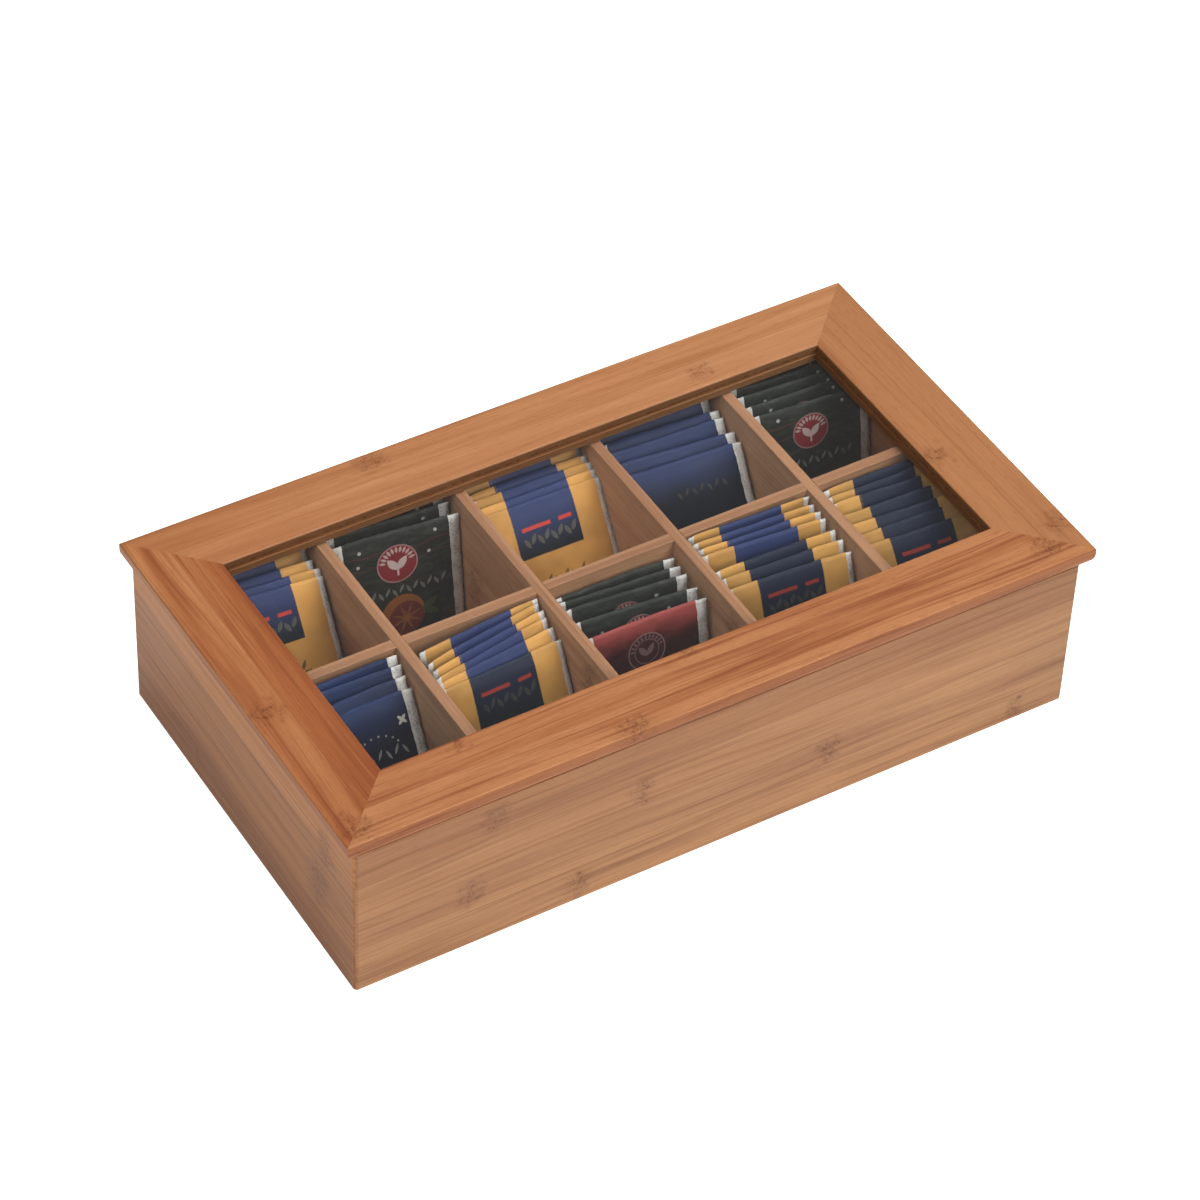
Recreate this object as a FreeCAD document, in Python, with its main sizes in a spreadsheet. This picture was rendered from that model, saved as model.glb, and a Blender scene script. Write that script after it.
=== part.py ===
"""Tea box in bamboo: a mitred carcass with ten compartments under a hinged, glazed lid.

Frame: millimetres, +Z up, X along the long front, Y from the front to the back.
The origin is the centre of the carcass's flat underside.
"""
import FreeCAD, Part
import Sketcher
import os
import re

from FreeCAD import Placement, Rotation, Vector

doc = FreeCAD.newDocument("TeaBox")

# ------------------------------------------------------------------ driving sizes
SIZES = {
    # carcass
    "box_width": 351.0,
    "box_depth": 197.0,
    "wall_height": 79.5,
    "wall_thick": 9.5,
    "floor_thick": 4.0,
    "rebate": 4.5,
    "corner_arris": 1.6,
    "edge_arris": 0.6,
    # divider grid
    "columns": 5,
    "divider_thick": 5.0,
    "divider_top": 79.0,
    "divider_arris": 0.4,
    "housing": 2.5,
    "joint_play": 0.1,
    # lid
    "lid_gap": 0.4,
    "lid_thick": 9.6,
    "rail_width": 32.5,
    "side_overhang": 4.5,
    "front_overhang": 3.0,
    "back_overhang": 1.0,
    "lid_round": 6.0,
    "lid_arris": 0.8,
    # glazing
    "glass_thick": 2.0,
    "glass_drop": 4.4,
    "glass_hold": 4.5,
    "groove_deep": 5.0,
    "groove_play": 0.3,
    # hinges
    "hinge_offset": 120.0,
    "hinge_length": 25.0,
    "hinge_setback": 3.5,
    "leaf_width": 8.0,
    "leaf_thick": 1.0,
    "leaf_play": 0.1,
    "knuckle_radius": 2.2,
    "knuckle_middle": 9.0,
    "knuckle_gap": 0.3,
    "pin_radius": 1.0,
    "pin_clearance": 0.05,
    "pin_head": 0.5,
    "rivet_radius": 1.5,
    "opening_angle": 100.0,
    "stop_play": 0.3,
    # hinge screws
    "screw_pitch": 15.0,
    "screw_inset": 3.8,
    "screw_head_radius": 1.7,
    "screw_shank_radius": 0.8,
    "screw_length": 6.5,
    "screw_slot": 0.5,
    "screw_play": 0.03,
    # tea sachets
    "sachet_thick": 2.4,
    "sachet_bevel": 5.0,
    "tall_width": 60.0,
    "tall_height": 75.5,
    "short_width": 60.0,
    "short_height": 70.0,
}

# What each compartment holds: the kind of sachet, how far they stand from the
# compartment's middle along X, the lean in degrees of the rearmost sachet and of the
# front one, and the place along Y of every sachet's top edge, rearmost first.
FILLS = {
    "back_1": ("tall", 0.0, 24.0, 31.0, (83.5, 77.5, 71.4, 67.2, 63.2)),
    "back_2": ("short", 0.5, 5.0, 9.8, (84.5, 79.0, 73.0, 65.3)),
    "back_3": ("tall", 1.0, 24.0, 34.0, (83.5, 77.8, 72.3, 68.8, 64.3, 61.0)),
    "back_4": ("tall", 0.0, 24.0, 33.0, (84.0, 78.0, 70.9, 65.9, 58.2, 51.7)),
    "back_5": ("short", 0.0, 6.0, 11.0, (84.0, 78.4, 72.8, 67.1, 60.5, 52.8)),
    "front_1": ("tall", 0.0, 12.0, 31.0, (-4.4, -7.4, -13.0, -16.0)),
    "front_2": ("tall", 0.0, 10.0, 28.5, (-5.6, -9.9, -13.6, -16.9, -20.1, -24.3)),
    "front_3": ("short", -1.0, 5.0, 12.0, (-4.2, -8.6, -13.4, -22.0, -30.6)),
    "front_4": ("tall", -1.0, 3.0, 20.0, (-4.4, -9.0, -13.2, -17.0, -25.8, -31.0, -37.1)),
    "front_5": ("tall", 0.0, 16.0, 33.0, (-4.2, -8.4, -12.4, -19.0, -25.0, -29.8, -35.9)),
}
for fill_name, (kind, shift, rear_lean, front_lean, tops) in FILLS.items():
    SIZES[f"{fill_name}_shift"] = shift
    SIZES[f"{fill_name}_rear_lean"] = rear_lean
    SIZES[f"{fill_name}_front_lean"] = front_lean
    for number, top in enumerate(tops, start=1):
        SIZES[f"{fill_name}_top_{number}"] = top

# Lengths that follow from the driving sizes. The sheet works them out itself.
DERIVED = {
    "half_width": "box_width / 2",
    "half_depth": "box_depth / 2",
    "inner_half_width": "half_width - wall_thick",
    "inner_half_depth": "half_depth - wall_thick",
    "seat_half_width": "inner_half_width + rebate",
    "seat_half_depth": "inner_half_depth + rebate",
    "cell_width": "(2 * inner_half_width - (columns - 1) * divider_thick) / columns",
    "cell_pitch": "cell_width + divider_thick",
    "divider_height": "divider_top - floor_thick",
    "slot_width": "divider_thick + 2 * joint_play",
    "lid_half_width": "half_width + side_overhang",
    "lid_front": "-half_depth - front_overhang",
    "lid_back": "half_depth + back_overhang",
    "lid_bottom": "wall_height + lid_gap",
    "lid_top": "lid_bottom + lid_thick",
    "glass_top": "lid_top - glass_drop",
    "glass_bottom": "glass_top - glass_thick",
    "groove_top": "glass_top + groove_play",
    "window_half_width": "lid_half_width - rail_width",
    "window_front": "lid_front + rail_width",
    "window_back": "lid_back - rail_width",
    "axis_back": "half_depth + hinge_setback",
    "axis_height": "wall_height + lid_gap / 2",
    "leaf_front": "half_depth - leaf_width",
    "middle_cut": "knuckle_middle / 2 + knuckle_gap",
    "screw_line": "half_depth - screw_inset",
    "stop_high": "-lid_gap / 2",
    "stop_low": "stop_high - leaf_thick",
}

sheet = doc.addObject("Spreadsheet::Sheet", "Sizes")


def bound(expression):
    """An expression in sheet aliases, written as a binding to the sheet's cells."""
    return re.sub(
        r"[a-z]\w*", lambda word: f"Sizes.{word[0]}" if word[0] in ALIASES else word[0], expression
    )


ALIASES = set(SIZES) | set(DERIVED)
for row, (alias, number) in enumerate(SIZES.items(), start=1):
    sheet.set(f"A{row}", alias)
    sheet.set(f"B{row}", str(number))
    sheet.setAlias(f"B{row}", alias)
for row, (alias, formula) in enumerate(DERIVED.items(), start=len(SIZES) + 1):
    sheet.set(f"A{row}", alias)
    sheet.set(f"B{row}", "=" + formula)
    sheet.setAlias(f"B{row}", alias)
doc.recompute()


def value(expression):
    """The present value of an expression in sheet aliases."""
    return float(sheet.evalExpression(bound(expression)))


# ------------------------------------------------------------------ modelling tools
nodes = {}


def new_body(label):
    """A body that becomes one node."""
    body = doc.addObject("PartDesign::Body", label)
    nodes[label] = body
    return body


def origin_part(body, role):
    """One of a body's own planes or axes."""
    return next(feature for feature in body.Origin.OriginFeatures if feature.Role == role)


def new_sketch(body, name, plane, lift="0"):
    """A sketch on one of the body's own planes, raised along that plane's normal."""
    sketch = body.newObject("Sketcher::SketchObject", name)
    sketch.AttachmentSupport = [(origin_part(body, plane), "")]
    sketch.MapMode = "FlatFace"
    sketch.setExpression(".AttachmentOffset.Base.z", bound(lift))
    return sketch


def pin_point(sketch, geometry, end, across, up):
    """Hold one point of a sketch at a place given by two expressions."""
    for kind, expression in (("DistanceX", across), ("DistanceY", up)):
        rule = Sketcher.Constraint(kind, -1, 1, geometry, end, value(expression))
        number = sketch.addConstraint(rule)
        sketch.setExpression(f"Constraints[{number}]", bound(expression))


def outline(body, name, plane, corners, lift="0"):
    """A closed sketch with straight sides through corners given as expressions."""
    sketch = new_sketch(body, name, plane, lift)
    places = [Vector(value(across), value(up), 0) for across, up in corners]
    for start, end in zip(places, places[1:] + places[:1]):
        sketch.addGeometry(Part.LineSegment(start, end))
    for side in range(len(corners)):
        following = (side + 1) % len(corners)
        sketch.addConstraint(Sketcher.Constraint("Coincident", side, 2, following, 1))
    for side, (across, up) in enumerate(corners):
        pin_point(sketch, side, 1, across, up)
    return sketch


def rectangle(body, name, plane, low, high, lift="0"):
    """A rectangular sketch between two opposite corners given as expressions."""
    corners = [low, (high[0], low[1]), high, (low[0], high[1])]
    return outline(body, name, plane, corners, lift)


def disc(body, name, plane, centre, radius, lift="0"):
    """A circular sketch."""
    sketch = new_sketch(body, name, plane, lift)
    middle = Vector(value(centre[0]), value(centre[1]), 0)
    sketch.addGeometry(Part.Circle(middle, Vector(0, 0, 1), value(radius)))
    pin_point(sketch, 0, 3, *centre)
    number = sketch.addConstraint(Sketcher.Constraint("Radius", 0, value(radius)))
    sketch.setExpression(f"Constraints[{number}]", bound(radius))
    return sketch


def pad(body, sketch, length, centred=False):
    """Extrude a sketch into material."""
    feature = body.newObject("PartDesign::Pad", sketch.Name + "_pad")
    feature.Profile = sketch
    feature.setExpression("Length", bound(length))
    feature.Midplane = centred
    doc.recompute()
    return feature


def cut(body, sketch, length=None, centred=False, upward=False):
    """Extrude a sketch out of the material: to a depth, or through all of it."""
    before = body.Shape.Volume
    feature = body.newObject("PartDesign::Pocket", sketch.Name + "_cut")
    feature.Profile = sketch
    if length is None:
        feature.Type = "ThroughAll"
    else:
        feature.setExpression("Length", bound(length))
    feature.Midplane = centred
    feature.Reversed = upward
    doc.recompute()
    if body.Shape.Volume >= before:
        raise RuntimeError(f"{feature.Name} removes nothing")
    return feature


def repeat(body, features, span, count):
    """Repeat features in a row along the body's X axis."""
    pattern = body.newObject("PartDesign::LinearPattern", features[0].Name + "_row")
    pattern.Originals = features
    pattern.Direction = (origin_part(body, "X_Axis"), [""])
    pattern.setExpression("Length", bound(span))
    pattern.setExpression("Occurrences", bound(count))
    body.Tip = pattern
    doc.recompute()


def mirror(body, features):
    """Repeat features on the other side of the body's YZ plane."""
    pattern = body.newObject("PartDesign::Mirrored", features[0].Name + "_twin")
    pattern.Originals = features
    pattern.MirrorPlane = (origin_part(body, "YZ_Plane"), [""])
    body.Tip = pattern
    doc.recompute()


def runs_at(edge, along, place):
    """Whether a straight edge runs along an axis at the given coordinates."""
    if edge.Curve.TypeId != "Part::GeomLine":
        return False
    start, end = (vertex.Point for vertex in edge.Vertexes)
    straight = abs(getattr((end - start).normalize(), along)) > 0.999
    return straight and all(abs(getattr(start, key) - at) < 1e-4 for key, at in place.items())


def ease(body, radius, along, places):
    """Round the body's straight edges that run along an axis at the given places."""
    names = [
        f"Edge{number}"
        for number, edge in enumerate(body.Shape.Edges, start=1)
        if any(runs_at(edge, along, place) for place in places)
    ]
    if len(names) < len(places):
        raise RuntimeError(f"{body.Label}: an edge to round is missing")
    solid = body.Tip
    feature = body.newObject("PartDesign::Fillet", f"{body.Name}_{radius}_{along}")
    feature.Base = (solid, names)
    feature.setExpression("Radius", bound(radius))
    doc.recompute()


# ------------------------------------------------------------------ mitred boards
BOX_OUTSIDE = {
    "left": "-half_width", "right": "half_width", "front": "-half_depth", "back": "half_depth",
}
BOX_INSIDE = {
    "left": "-inner_half_width",
    "right": "inner_half_width",
    "front": "-inner_half_depth",
    "back": "inner_half_depth",
}
LID_OUTSIDE = {
    "left": "-lid_half_width", "right": "lid_half_width", "front": "lid_front", "back": "lid_back",
}
WINDOW = {
    "left": "-window_half_width",
    "right": "window_half_width",
    "front": "window_front",
    "back": "window_back",
}
INWARD = {"left": "+", "right": "-", "front": "+", "back": "-"}
SIDE_ENDS = {
    "front": (("left", "front"), ("right", "front")),
    "back": (("right", "back"), ("left", "back")),
    "left": (("left", "back"), ("left", "front")),
    "right": (("right", "front"), ("right", "back")),
}


def along_axis(side):
    """The axis that a board on this side of a frame runs along."""
    return "x" if side in ("front", "back") else "y"


def blunted(outside, end, side):
    """The two points that replace a board's outer corner where the arris is taken off."""
    x_side, y_side = end
    corner = [outside[x_side], outside[y_side]]
    eased = [f"{corner[0]} {INWARD[x_side]} corner_arris", corner[1]]
    if along_axis(side) == "y":
        eased = [corner[0], f"{corner[1]} {INWARD[y_side]} corner_arris"]
    middle = [
        f"{corner[0]} {INWARD[x_side]} corner_arris / 2",
        f"{corner[1]} {INWARD[y_side]} corner_arris / 2",
    ]
    return [middle, eased]


def mitred_board(label, side, outside, inside, low, height, arris):
    """One board of a four-sided frame, mitred at both ends."""
    body = new_body(label)
    first, second = SIDE_ENDS[side]
    if arris:
        outer = blunted(outside, first, side) + blunted(outside, second, side)[::-1]
    else:
        outer = [[outside[x], outside[y]] for x, y in (first, second)]
    inner = [[inside[x], inside[y]] for x, y in (second, first)]
    pad(body, outline(body, f"{label}_plan", "XY_Plane", outer + inner, low), height)
    return body


def edge_place(side, rectangle_of, height):
    """Where a board's long edge lies, for finding it on the solid."""
    key = "y" if along_axis(side) == "x" else "x"
    return {key: value(rectangle_of[side]), "z": value(height)}


# ------------------------------------------------------------------ carcass walls
def wall(side):
    """A wall board, its outer edges eased and its lower inner edge rebated for the floor."""
    label = f"{side}_panel"
    body = mitred_board(label, side, BOX_OUTSIDE, BOX_INSIDE, "0", "wall_height", arris=True)
    places = [edge_place(side, BOX_OUTSIDE, height) for height in ("0", "wall_height")]
    ease(body, "edge_arris", along_axis(side), places)
    low = ("-seat_half_width", "-seat_half_depth")
    high = ("seat_half_width", "seat_half_depth")
    seat = rectangle(body, f"{label}_rebate", "XY_Plane", low, high)
    cut(body, seat, "floor_thick", upward=True)
    return body


def housings(body, half_span_x, half_span_y, count):
    """Grooves for divider ends, cut up from the floor through the top of the wall.

    Each groove is a bar through the middle of the box that reaches into the wall.
    """
    first = "-(columns - 2) / 2 * cell_pitch" if count != "1" else "0"
    bar = rectangle(
        body,
        f"{body.Name}_housing",
        "XY_Plane",
        (f"{first} - ({half_span_x})", f"-({half_span_y})"),
        (f"{first} + {half_span_x}", half_span_y),
        "floor_thick",
    )
    groove = cut(body, bar, upward=True)
    if count != "1":
        repeat(body, [groove], "(columns - 2) * cell_pitch", count)


def hinge_seats(body, face, upward):
    """Two shallow mortises for hinge leaves, and the pilot holes of their screws."""
    name = body.Name
    low = ("hinge_offset - hinge_length / 2 - leaf_play", "leaf_front - leaf_play")
    high = ("hinge_offset + hinge_length / 2 + leaf_play", "axis_back")
    mortise = rectangle(body, f"{name}_mortise", "XY_Plane", low, high, face)
    seats = [cut(body, mortise, "leaf_thick", upward=upward)]
    for hole_name, step in (("inner", "-"), ("outer", "+")):
        centre = (f"hinge_offset {step} screw_pitch / 2", "screw_line")
        radius = "screw_shank_radius + screw_play"
        pilot = disc(body, f"{name}_{hole_name}_pilot", "XY_Plane", centre, radius, face)
        seats.append(cut(body, pilot, "screw_length + screw_play", upward=upward))
    mirror(body, seats)


for side in ("front", "back"):
    housings(wall(side), "slot_width / 2", "inner_half_depth + housing", "columns - 1")
for side in ("left", "right"):
    housings(wall(side), "inner_half_width + housing", "slot_width / 2", "1")
hinge_seats(nodes["back_panel"], "wall_height", upward=False)

# ------------------------------------------------------------------ floor and glass
def panel(label, size, corner):
    """A plain rectangular panel: its size, and its low corner."""
    board = doc.addObject("Part::Box", label)
    for side, expression in zip(("Length", "Width", "Height"), size):
        board.setExpression(side, bound(expression))
    for key, expression in zip("xyz", corner):
        board.setExpression(f".Placement.Base.{key}", bound(expression))
    nodes[label] = board


panel(
    "floor_panel",
    ("2 * seat_half_width", "2 * seat_half_depth", "floor_thick"),
    ("-seat_half_width", "-seat_half_depth", "0"),
)
panel(
    "glass_pane",
    (
        "2 * (window_half_width + glass_hold)",
        "window_back - window_front + 2 * glass_hold",
        "glass_thick",
    ),
    ("-window_half_width - glass_hold", "window_front - glass_hold", "glass_bottom"),
)


# ------------------------------------------------------------------ divider grid
def divider(label, along, half_length):
    """A thin board standing on the floor, its ends let into the walls."""
    body = new_body(label)
    plane = "XZ_Plane" if along == "x" else "YZ_Plane"
    low = (f"-({half_length} + housing - joint_play)", "floor_thick")
    high = (f"{half_length} + housing - joint_play", "divider_top")
    pad(body, rectangle(body, f"{label}_face", plane, low, high), "divider_thick", centred=True)
    across = "y" if along == "x" else "x"
    top = value("divider_top")
    faces = [side * value("divider_thick") / 2 for side in (-1, 1)]
    ease(body, "divider_arris", along, [{across: face, "z": top} for face in faces])
    return body


# Half-lapped grid: the long divider is slotted from above, each cross divider from below.
halfway = "floor_thick + divider_height / 2"
first_crossing = "-(columns - 2) / 2 * cell_pitch"
long_divider = divider("long_divider", "x", "inner_half_width")
upper_slot = rectangle(
    long_divider,
    "long_divider_slot",
    "XZ_Plane",
    (f"{first_crossing} - slot_width / 2", f"{halfway} - joint_play"),
    (f"{first_crossing} + slot_width / 2", "wall_height"),
)
slot_cut = cut(long_divider, upper_slot, "2 * divider_thick", centred=True)
repeat(long_divider, [slot_cut], "(columns - 2) * cell_pitch", "columns - 1")

for number in range(1, int(value("columns"))):
    cross = divider(f"cross_divider_{number}", "y", "inner_half_depth")
    low, high = ("-slot_width / 2", "0"), ("slot_width / 2", f"{halfway} + joint_play")
    lower_slot = rectangle(cross, f"cross_divider_{number}_slot", "YZ_Plane", low, high)
    cut(cross, lower_slot, "2 * divider_thick", centred=True)
    cross.setExpression(".Placement.Base.x", bound(f"({number} - columns / 2) * cell_pitch"))


# ------------------------------------------------------------------ lid rails
def lid_rail(side, rounded):
    """A lid rail: eased above, grooved for the glass and, on three sides, rounded below."""
    label = f"lid_{side}_rail"
    body = mitred_board(label, side, LID_OUTSIDE, WINDOW, "lid_bottom", "lid_thick", arris=False)
    top_edges = [edge_place(side, frame, "lid_top") for frame in (LID_OUTSIDE, WINDOW)]
    ease(body, "lid_arris", along_axis(side), top_edges)
    if rounded:
        low_edge = edge_place(side, LID_OUTSIDE, "lid_bottom")
        ease(body, "lid_round", along_axis(side), [low_edge])
    low = ("-window_half_width - groove_deep", "window_front - groove_deep")
    high = ("window_half_width + groove_deep", "window_back + groove_deep")
    groove = rectangle(body, f"{label}_groove", "XY_Plane", low, high, "glass_bottom")
    cut(body, groove, "groove_top - glass_bottom", upward=True)
    return body


def end_rounds(body):
    """Carry the side rails' lower round through both ends of the square-edged back rail."""
    sketch = new_sketch(body, f"{body.Name}_end_round", "XZ_Plane", "-lid_back")
    edge, low, radius = value("lid_half_width"), value("lid_bottom"), value("lid_round")
    foot, side = Vector(edge - radius, low, 0), Vector(edge, low + radius, 0)
    corner = Vector(edge, low, 0)
    bulge = Vector(edge - radius, low + radius, 0) + Vector(radius, -radius, 0) * 0.5 ** 0.5
    sketch.addGeometry(Part.Arc(foot, bulge, side))
    sketch.addGeometry(Part.LineSegment(side, corner))
    sketch.addGeometry(Part.LineSegment(corner, foot))
    for pair in ((0, 2, 1, 1), (1, 2, 2, 1), (2, 2, 0, 1)):
        sketch.addConstraint(Sketcher.Constraint("Coincident", *pair))
    pin_point(sketch, 0, 3, "lid_half_width - lid_round", "lid_bottom + lid_round")
    pin_point(sketch, 1, 1, "lid_half_width", "lid_bottom + lid_round")
    pin_point(sketch, 1, 2, "lid_half_width", "lid_bottom")
    mirror(body, [cut(body, sketch, "2 * rail_width", centred=True)])


for side in ("front", "left", "right"):
    lid_rail(side, rounded=True)
back_rail = lid_rail("back", rounded=False)
end_rounds(back_rail)
hinge_seats(back_rail, "lid_bottom", upward=True)


# ------------------------------------------------------------------ hinges
def hinge_leaf(label, plate_low, face, knuckles, bore, extras=()):
    """A leaf: a flat plate let into the wood, knuckles round the pin, and screw holes.

    plate_low is the plate's underside and face its open side; knuckles is the length of pin
    that its knuckles take up, and bore their radius inside. extras are further profiles, as
    long as the knuckles.
    """
    body = new_body(label)
    low, high = ("-hinge_length / 2", "leaf_front"), ("hinge_length / 2", "half_depth")
    pad(body, rectangle(body, f"{label}_plate", "XY_Plane", low, high, plate_low), "leaf_thick")
    low, high = ("half_depth", plate_low), ("axis_back", f"{plate_low} + leaf_thick")
    bridge = rectangle(body, f"{label}_bridge", "YZ_Plane", low, high)
    pad(body, bridge, knuckles, centred=True)
    axis = ("axis_back", "axis_height")
    barrel = disc(body, f"{label}_barrel", "YZ_Plane", axis, "knuckle_radius")
    pad(body, barrel, knuckles, centred=True)
    for name, corners in extras:
        pad(body, outline(body, f"{label}_{name}", "YZ_Plane", corners), knuckles, centred=True)
    cut(body, disc(body, f"{label}_bore", "YZ_Plane", axis, bore), "hinge_length", centred=True)
    for hole_name, step in (("left", "-"), ("right", "")):
        centre = (f"{step}screw_pitch / 2", "screw_line")
        radius = "screw_shank_radius + screw_play"
        hole = disc(body, f"{label}_{hole_name}_hole", "XY_Plane", centre, radius, face)
        cut(body, hole, "2 * leaf_thick", centred=True)
    rims = [
        f"Edge{number}"
        for number, edge in enumerate(body.Shape.Edges, start=1)
        if edge.Curve.TypeId == "Part::GeomCircle"
        and abs(edge.Curve.Axis.z) > 0.999
        and abs(edge.Curve.Center.z - value(face)) < 1e-4
    ]
    solid = body.Tip
    countersink = body.newObject("PartDesign::Chamfer", f"{label}_countersink")
    countersink.Base = (solid, rims)
    countersink.setExpression("Size", bound("screw_head_radius - screw_shank_radius"))
    doc.recompute()
    return body


def box_leaf(label):
    """The leaf on the back wall, with the two outer knuckles that hold the pin."""
    plate_low = "wall_height - leaf_thick"
    body = hinge_leaf(label, plate_low, "wall_height", "hinge_length", "pin_radius")
    low, high = ("-middle_cut", "half_depth"), ("middle_cut", "axis_back + 2 * knuckle_radius")
    gap = rectangle(body, f"{label}_gap", "XY_Plane", low, high, "axis_height")
    cut(body, gap, "4 * knuckle_radius", centred=True)
    return body


def lid_leaf(label):
    """The leaf in the lid: its single knuckle turns on the pin and carries the stop.

    The stop is a heel below the knuckle. It comes up against the edge of the box leaf when
    the lid is fully open, so its corners are that place turned back by the opening angle.
    """
    reach, turn = "(stop_play - hinge_setback)", "(opening_angle * 1 deg)"
    heel = []
    for across, up in (("0", "stop_low"), (reach, "stop_low"), (reach, "stop_high"), ("0", "stop_high")):
        heel.append(
            (
                f"axis_back + {across} * cos{turn} - {up} * sin{turn}",
                f"axis_height + {across} * sin{turn} + {up} * cos{turn}",
            )
        )
    bore = "pin_radius + pin_clearance"
    plate_low = "lid_bottom"
    return hinge_leaf(label, plate_low, "lid_bottom", "knuckle_middle", bore, [("heel", heel)])


def hinge_pin(label):
    """The pin: a rod as long as the knuckles, riveted over at both ends."""
    body = new_body(label)
    axis = ("axis_back", "axis_height")
    rod = disc(body, f"{label}_rod", "YZ_Plane", axis, "pin_radius")
    pad(body, rod, "hinge_length", centred=True)
    rivet = disc(body, f"{label}_rivet", "YZ_Plane", axis, "rivet_radius", "hinge_length / 2")
    mirror(body, [pad(body, rivet, "pin_head")])
    return body


for side, step in (("left", "-"), ("right", "")):
    for piece in (
        box_leaf(f"{side}_hinge_box_leaf"),
        lid_leaf(f"{side}_hinge_lid_leaf"),
        hinge_pin(f"{side}_hinge_pin"),
    ):
        piece.setExpression(".Placement.Base.x", bound(f"{step}hinge_offset"))


# ------------------------------------------------------------------ hinge screws
def screw_set(label, face, into):
    """The four countersunk screws on one side of the hinges, modelled as one turned
    screw with a slotted head and repeated two to a leaf. into: "-" points them down.
    """
    body = new_body(label)
    cone = "(screw_head_radius - screw_shank_radius)"
    profile = outline(
        body,
        f"{label}_profile",
        "XZ_Plane",
        [
            ("0", face),
            ("screw_head_radius", face),
            ("screw_shank_radius", f"{face} {into} {cone}"),
            ("screw_shank_radius", f"{face} {into} (screw_length - 2 * screw_shank_radius)"),
            ("0", f"{face} {into} screw_length"),
        ],
    )
    turned = body.newObject("PartDesign::Revolution", f"{label}_turned")
    turned.Profile = profile
    turned.ReferenceAxis = (profile, ["V_Axis"])
    doc.recompute()
    low = ("-2 * screw_head_radius", "-screw_slot / 2")
    high = ("2 * screw_head_radius", "screw_slot / 2")
    slot = rectangle(body, f"{label}_slot", "XY_Plane", low, high, face)
    driver_slot = cut(body, slot, "2 * screw_slot", centred=True)
    rows = body.newObject("PartDesign::MultiTransform", f"{label}_rows")
    rows.Originals = [turned, driver_slot]
    steps = []
    for name, span in (("leaf", "screw_pitch"), ("hinge", "2 * hinge_offset")):
        step = body.newObject("PartDesign::LinearPattern", f"{label}_{name}_step")
        step.Direction = (origin_part(body, "X_Axis"), [""])
        step.setExpression("Length", bound(span))
        step.Occurrences = 2
        steps.append(step)
    rows.Transformations = steps
    body.Tip = rows
    doc.recompute()
    body.setExpression(".Placement.Base.x", bound("-hinge_offset - screw_pitch / 2"))
    body.setExpression(".Placement.Base.y", bound("screw_line"))


screw_set("box_hinge_screws", "wall_height", "-")
screw_set("lid_hinge_screws", "lid_bottom", "+")


# ------------------------------------------------------------------ tea sachets
def sachet(name, kind, lean, top, centre):
    """One sachet: a flat back, a plumper face with bevelled borders, leaning backwards.

    top is where the sachet's top edge lies along Y, and centre is its middle along X.
    """
    packet = doc.addObject("Part::Wedge", name)
    sizes = {
        "Ymin": "-sachet_thick",
        "Ymax": "0",
        "Xmin": f"sachet_bevel - {kind}_width / 2",
        "Xmax": f"{kind}_width / 2 - sachet_bevel",
        "Zmin": "sachet_bevel",
        "Zmax": f"{kind}_height - sachet_bevel",
        "X2min": f"-{kind}_width / 2",
        "X2max": f"{kind}_width / 2",
        "Z2min": "0",
        "Z2max": f"{kind}_height",
    }
    for key, expression in sizes.items():
        setattr(packet, key, value(expression))
        packet.setExpression(key, bound(expression))
    packet.Placement = Placement(Vector(), Rotation(Vector(-1, 0, 0), value(lean)))
    packet.setExpression(".Placement.Rotation.Angle", bound(f"({lean}) * 1 deg"))
    packet.setExpression(".Placement.Base.x", bound(centre))
    foot = f"{top} - {kind}_height * sin(({lean}) * 1 deg)"
    packet.setExpression(".Placement.Base.y", bound(foot))
    packet.setExpression(".Placement.Base.z", bound("floor_thick"))
    return packet


for fill_name, (kind, shift, rear_lean, front_lean, tops) in FILLS.items():
    column = fill_name[-1]
    centre = f"({column} - (columns + 1) / 2) * cell_pitch + {fill_name}_shift"
    packets = []
    for number in range(1, len(tops) + 1):
        share = f"{number - 1} / {len(tops) - 1}"
        lean_change = f"({fill_name}_front_lean - {fill_name}_rear_lean)"
        lean = f"{fill_name}_rear_lean + {lean_change} * {share}"
        top = f"{fill_name}_top_{number}"
        packets.append(sachet(f"{fill_name}_sachet_{number}", kind, lean, top, centre))
    group = doc.addObject("Part::Compound", f"sachets_{fill_name}")
    group.Links = packets
    nodes[f"sachets_{fill_name}"] = group

# ------------------------------------------------------------------ check and write
doc.recompute()
for item in doc.Objects:
    if {"Invalid", "Error"} & set(item.State):
        raise RuntimeError(f"{item.Label} failed: {item.State}")
os.makedirs("parts", exist_ok=True)
for label, item in nodes.items():
    item.Label = label
    if item.Shape.isNull() or not item.Shape.isValid():
        raise RuntimeError(f"{label} has no valid shape")
    item.Shape.exportStep(f"parts/{label}.step")
    box = item.Shape.BoundBox
    print(f"{label:24s} {len(item.Shape.Solids)} solid(s) {item.Shape.Volume / 1000:8.2f} cm3", box)
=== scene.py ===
import math
import random

import bmesh
import bpy
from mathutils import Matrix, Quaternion, Vector, noise


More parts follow.
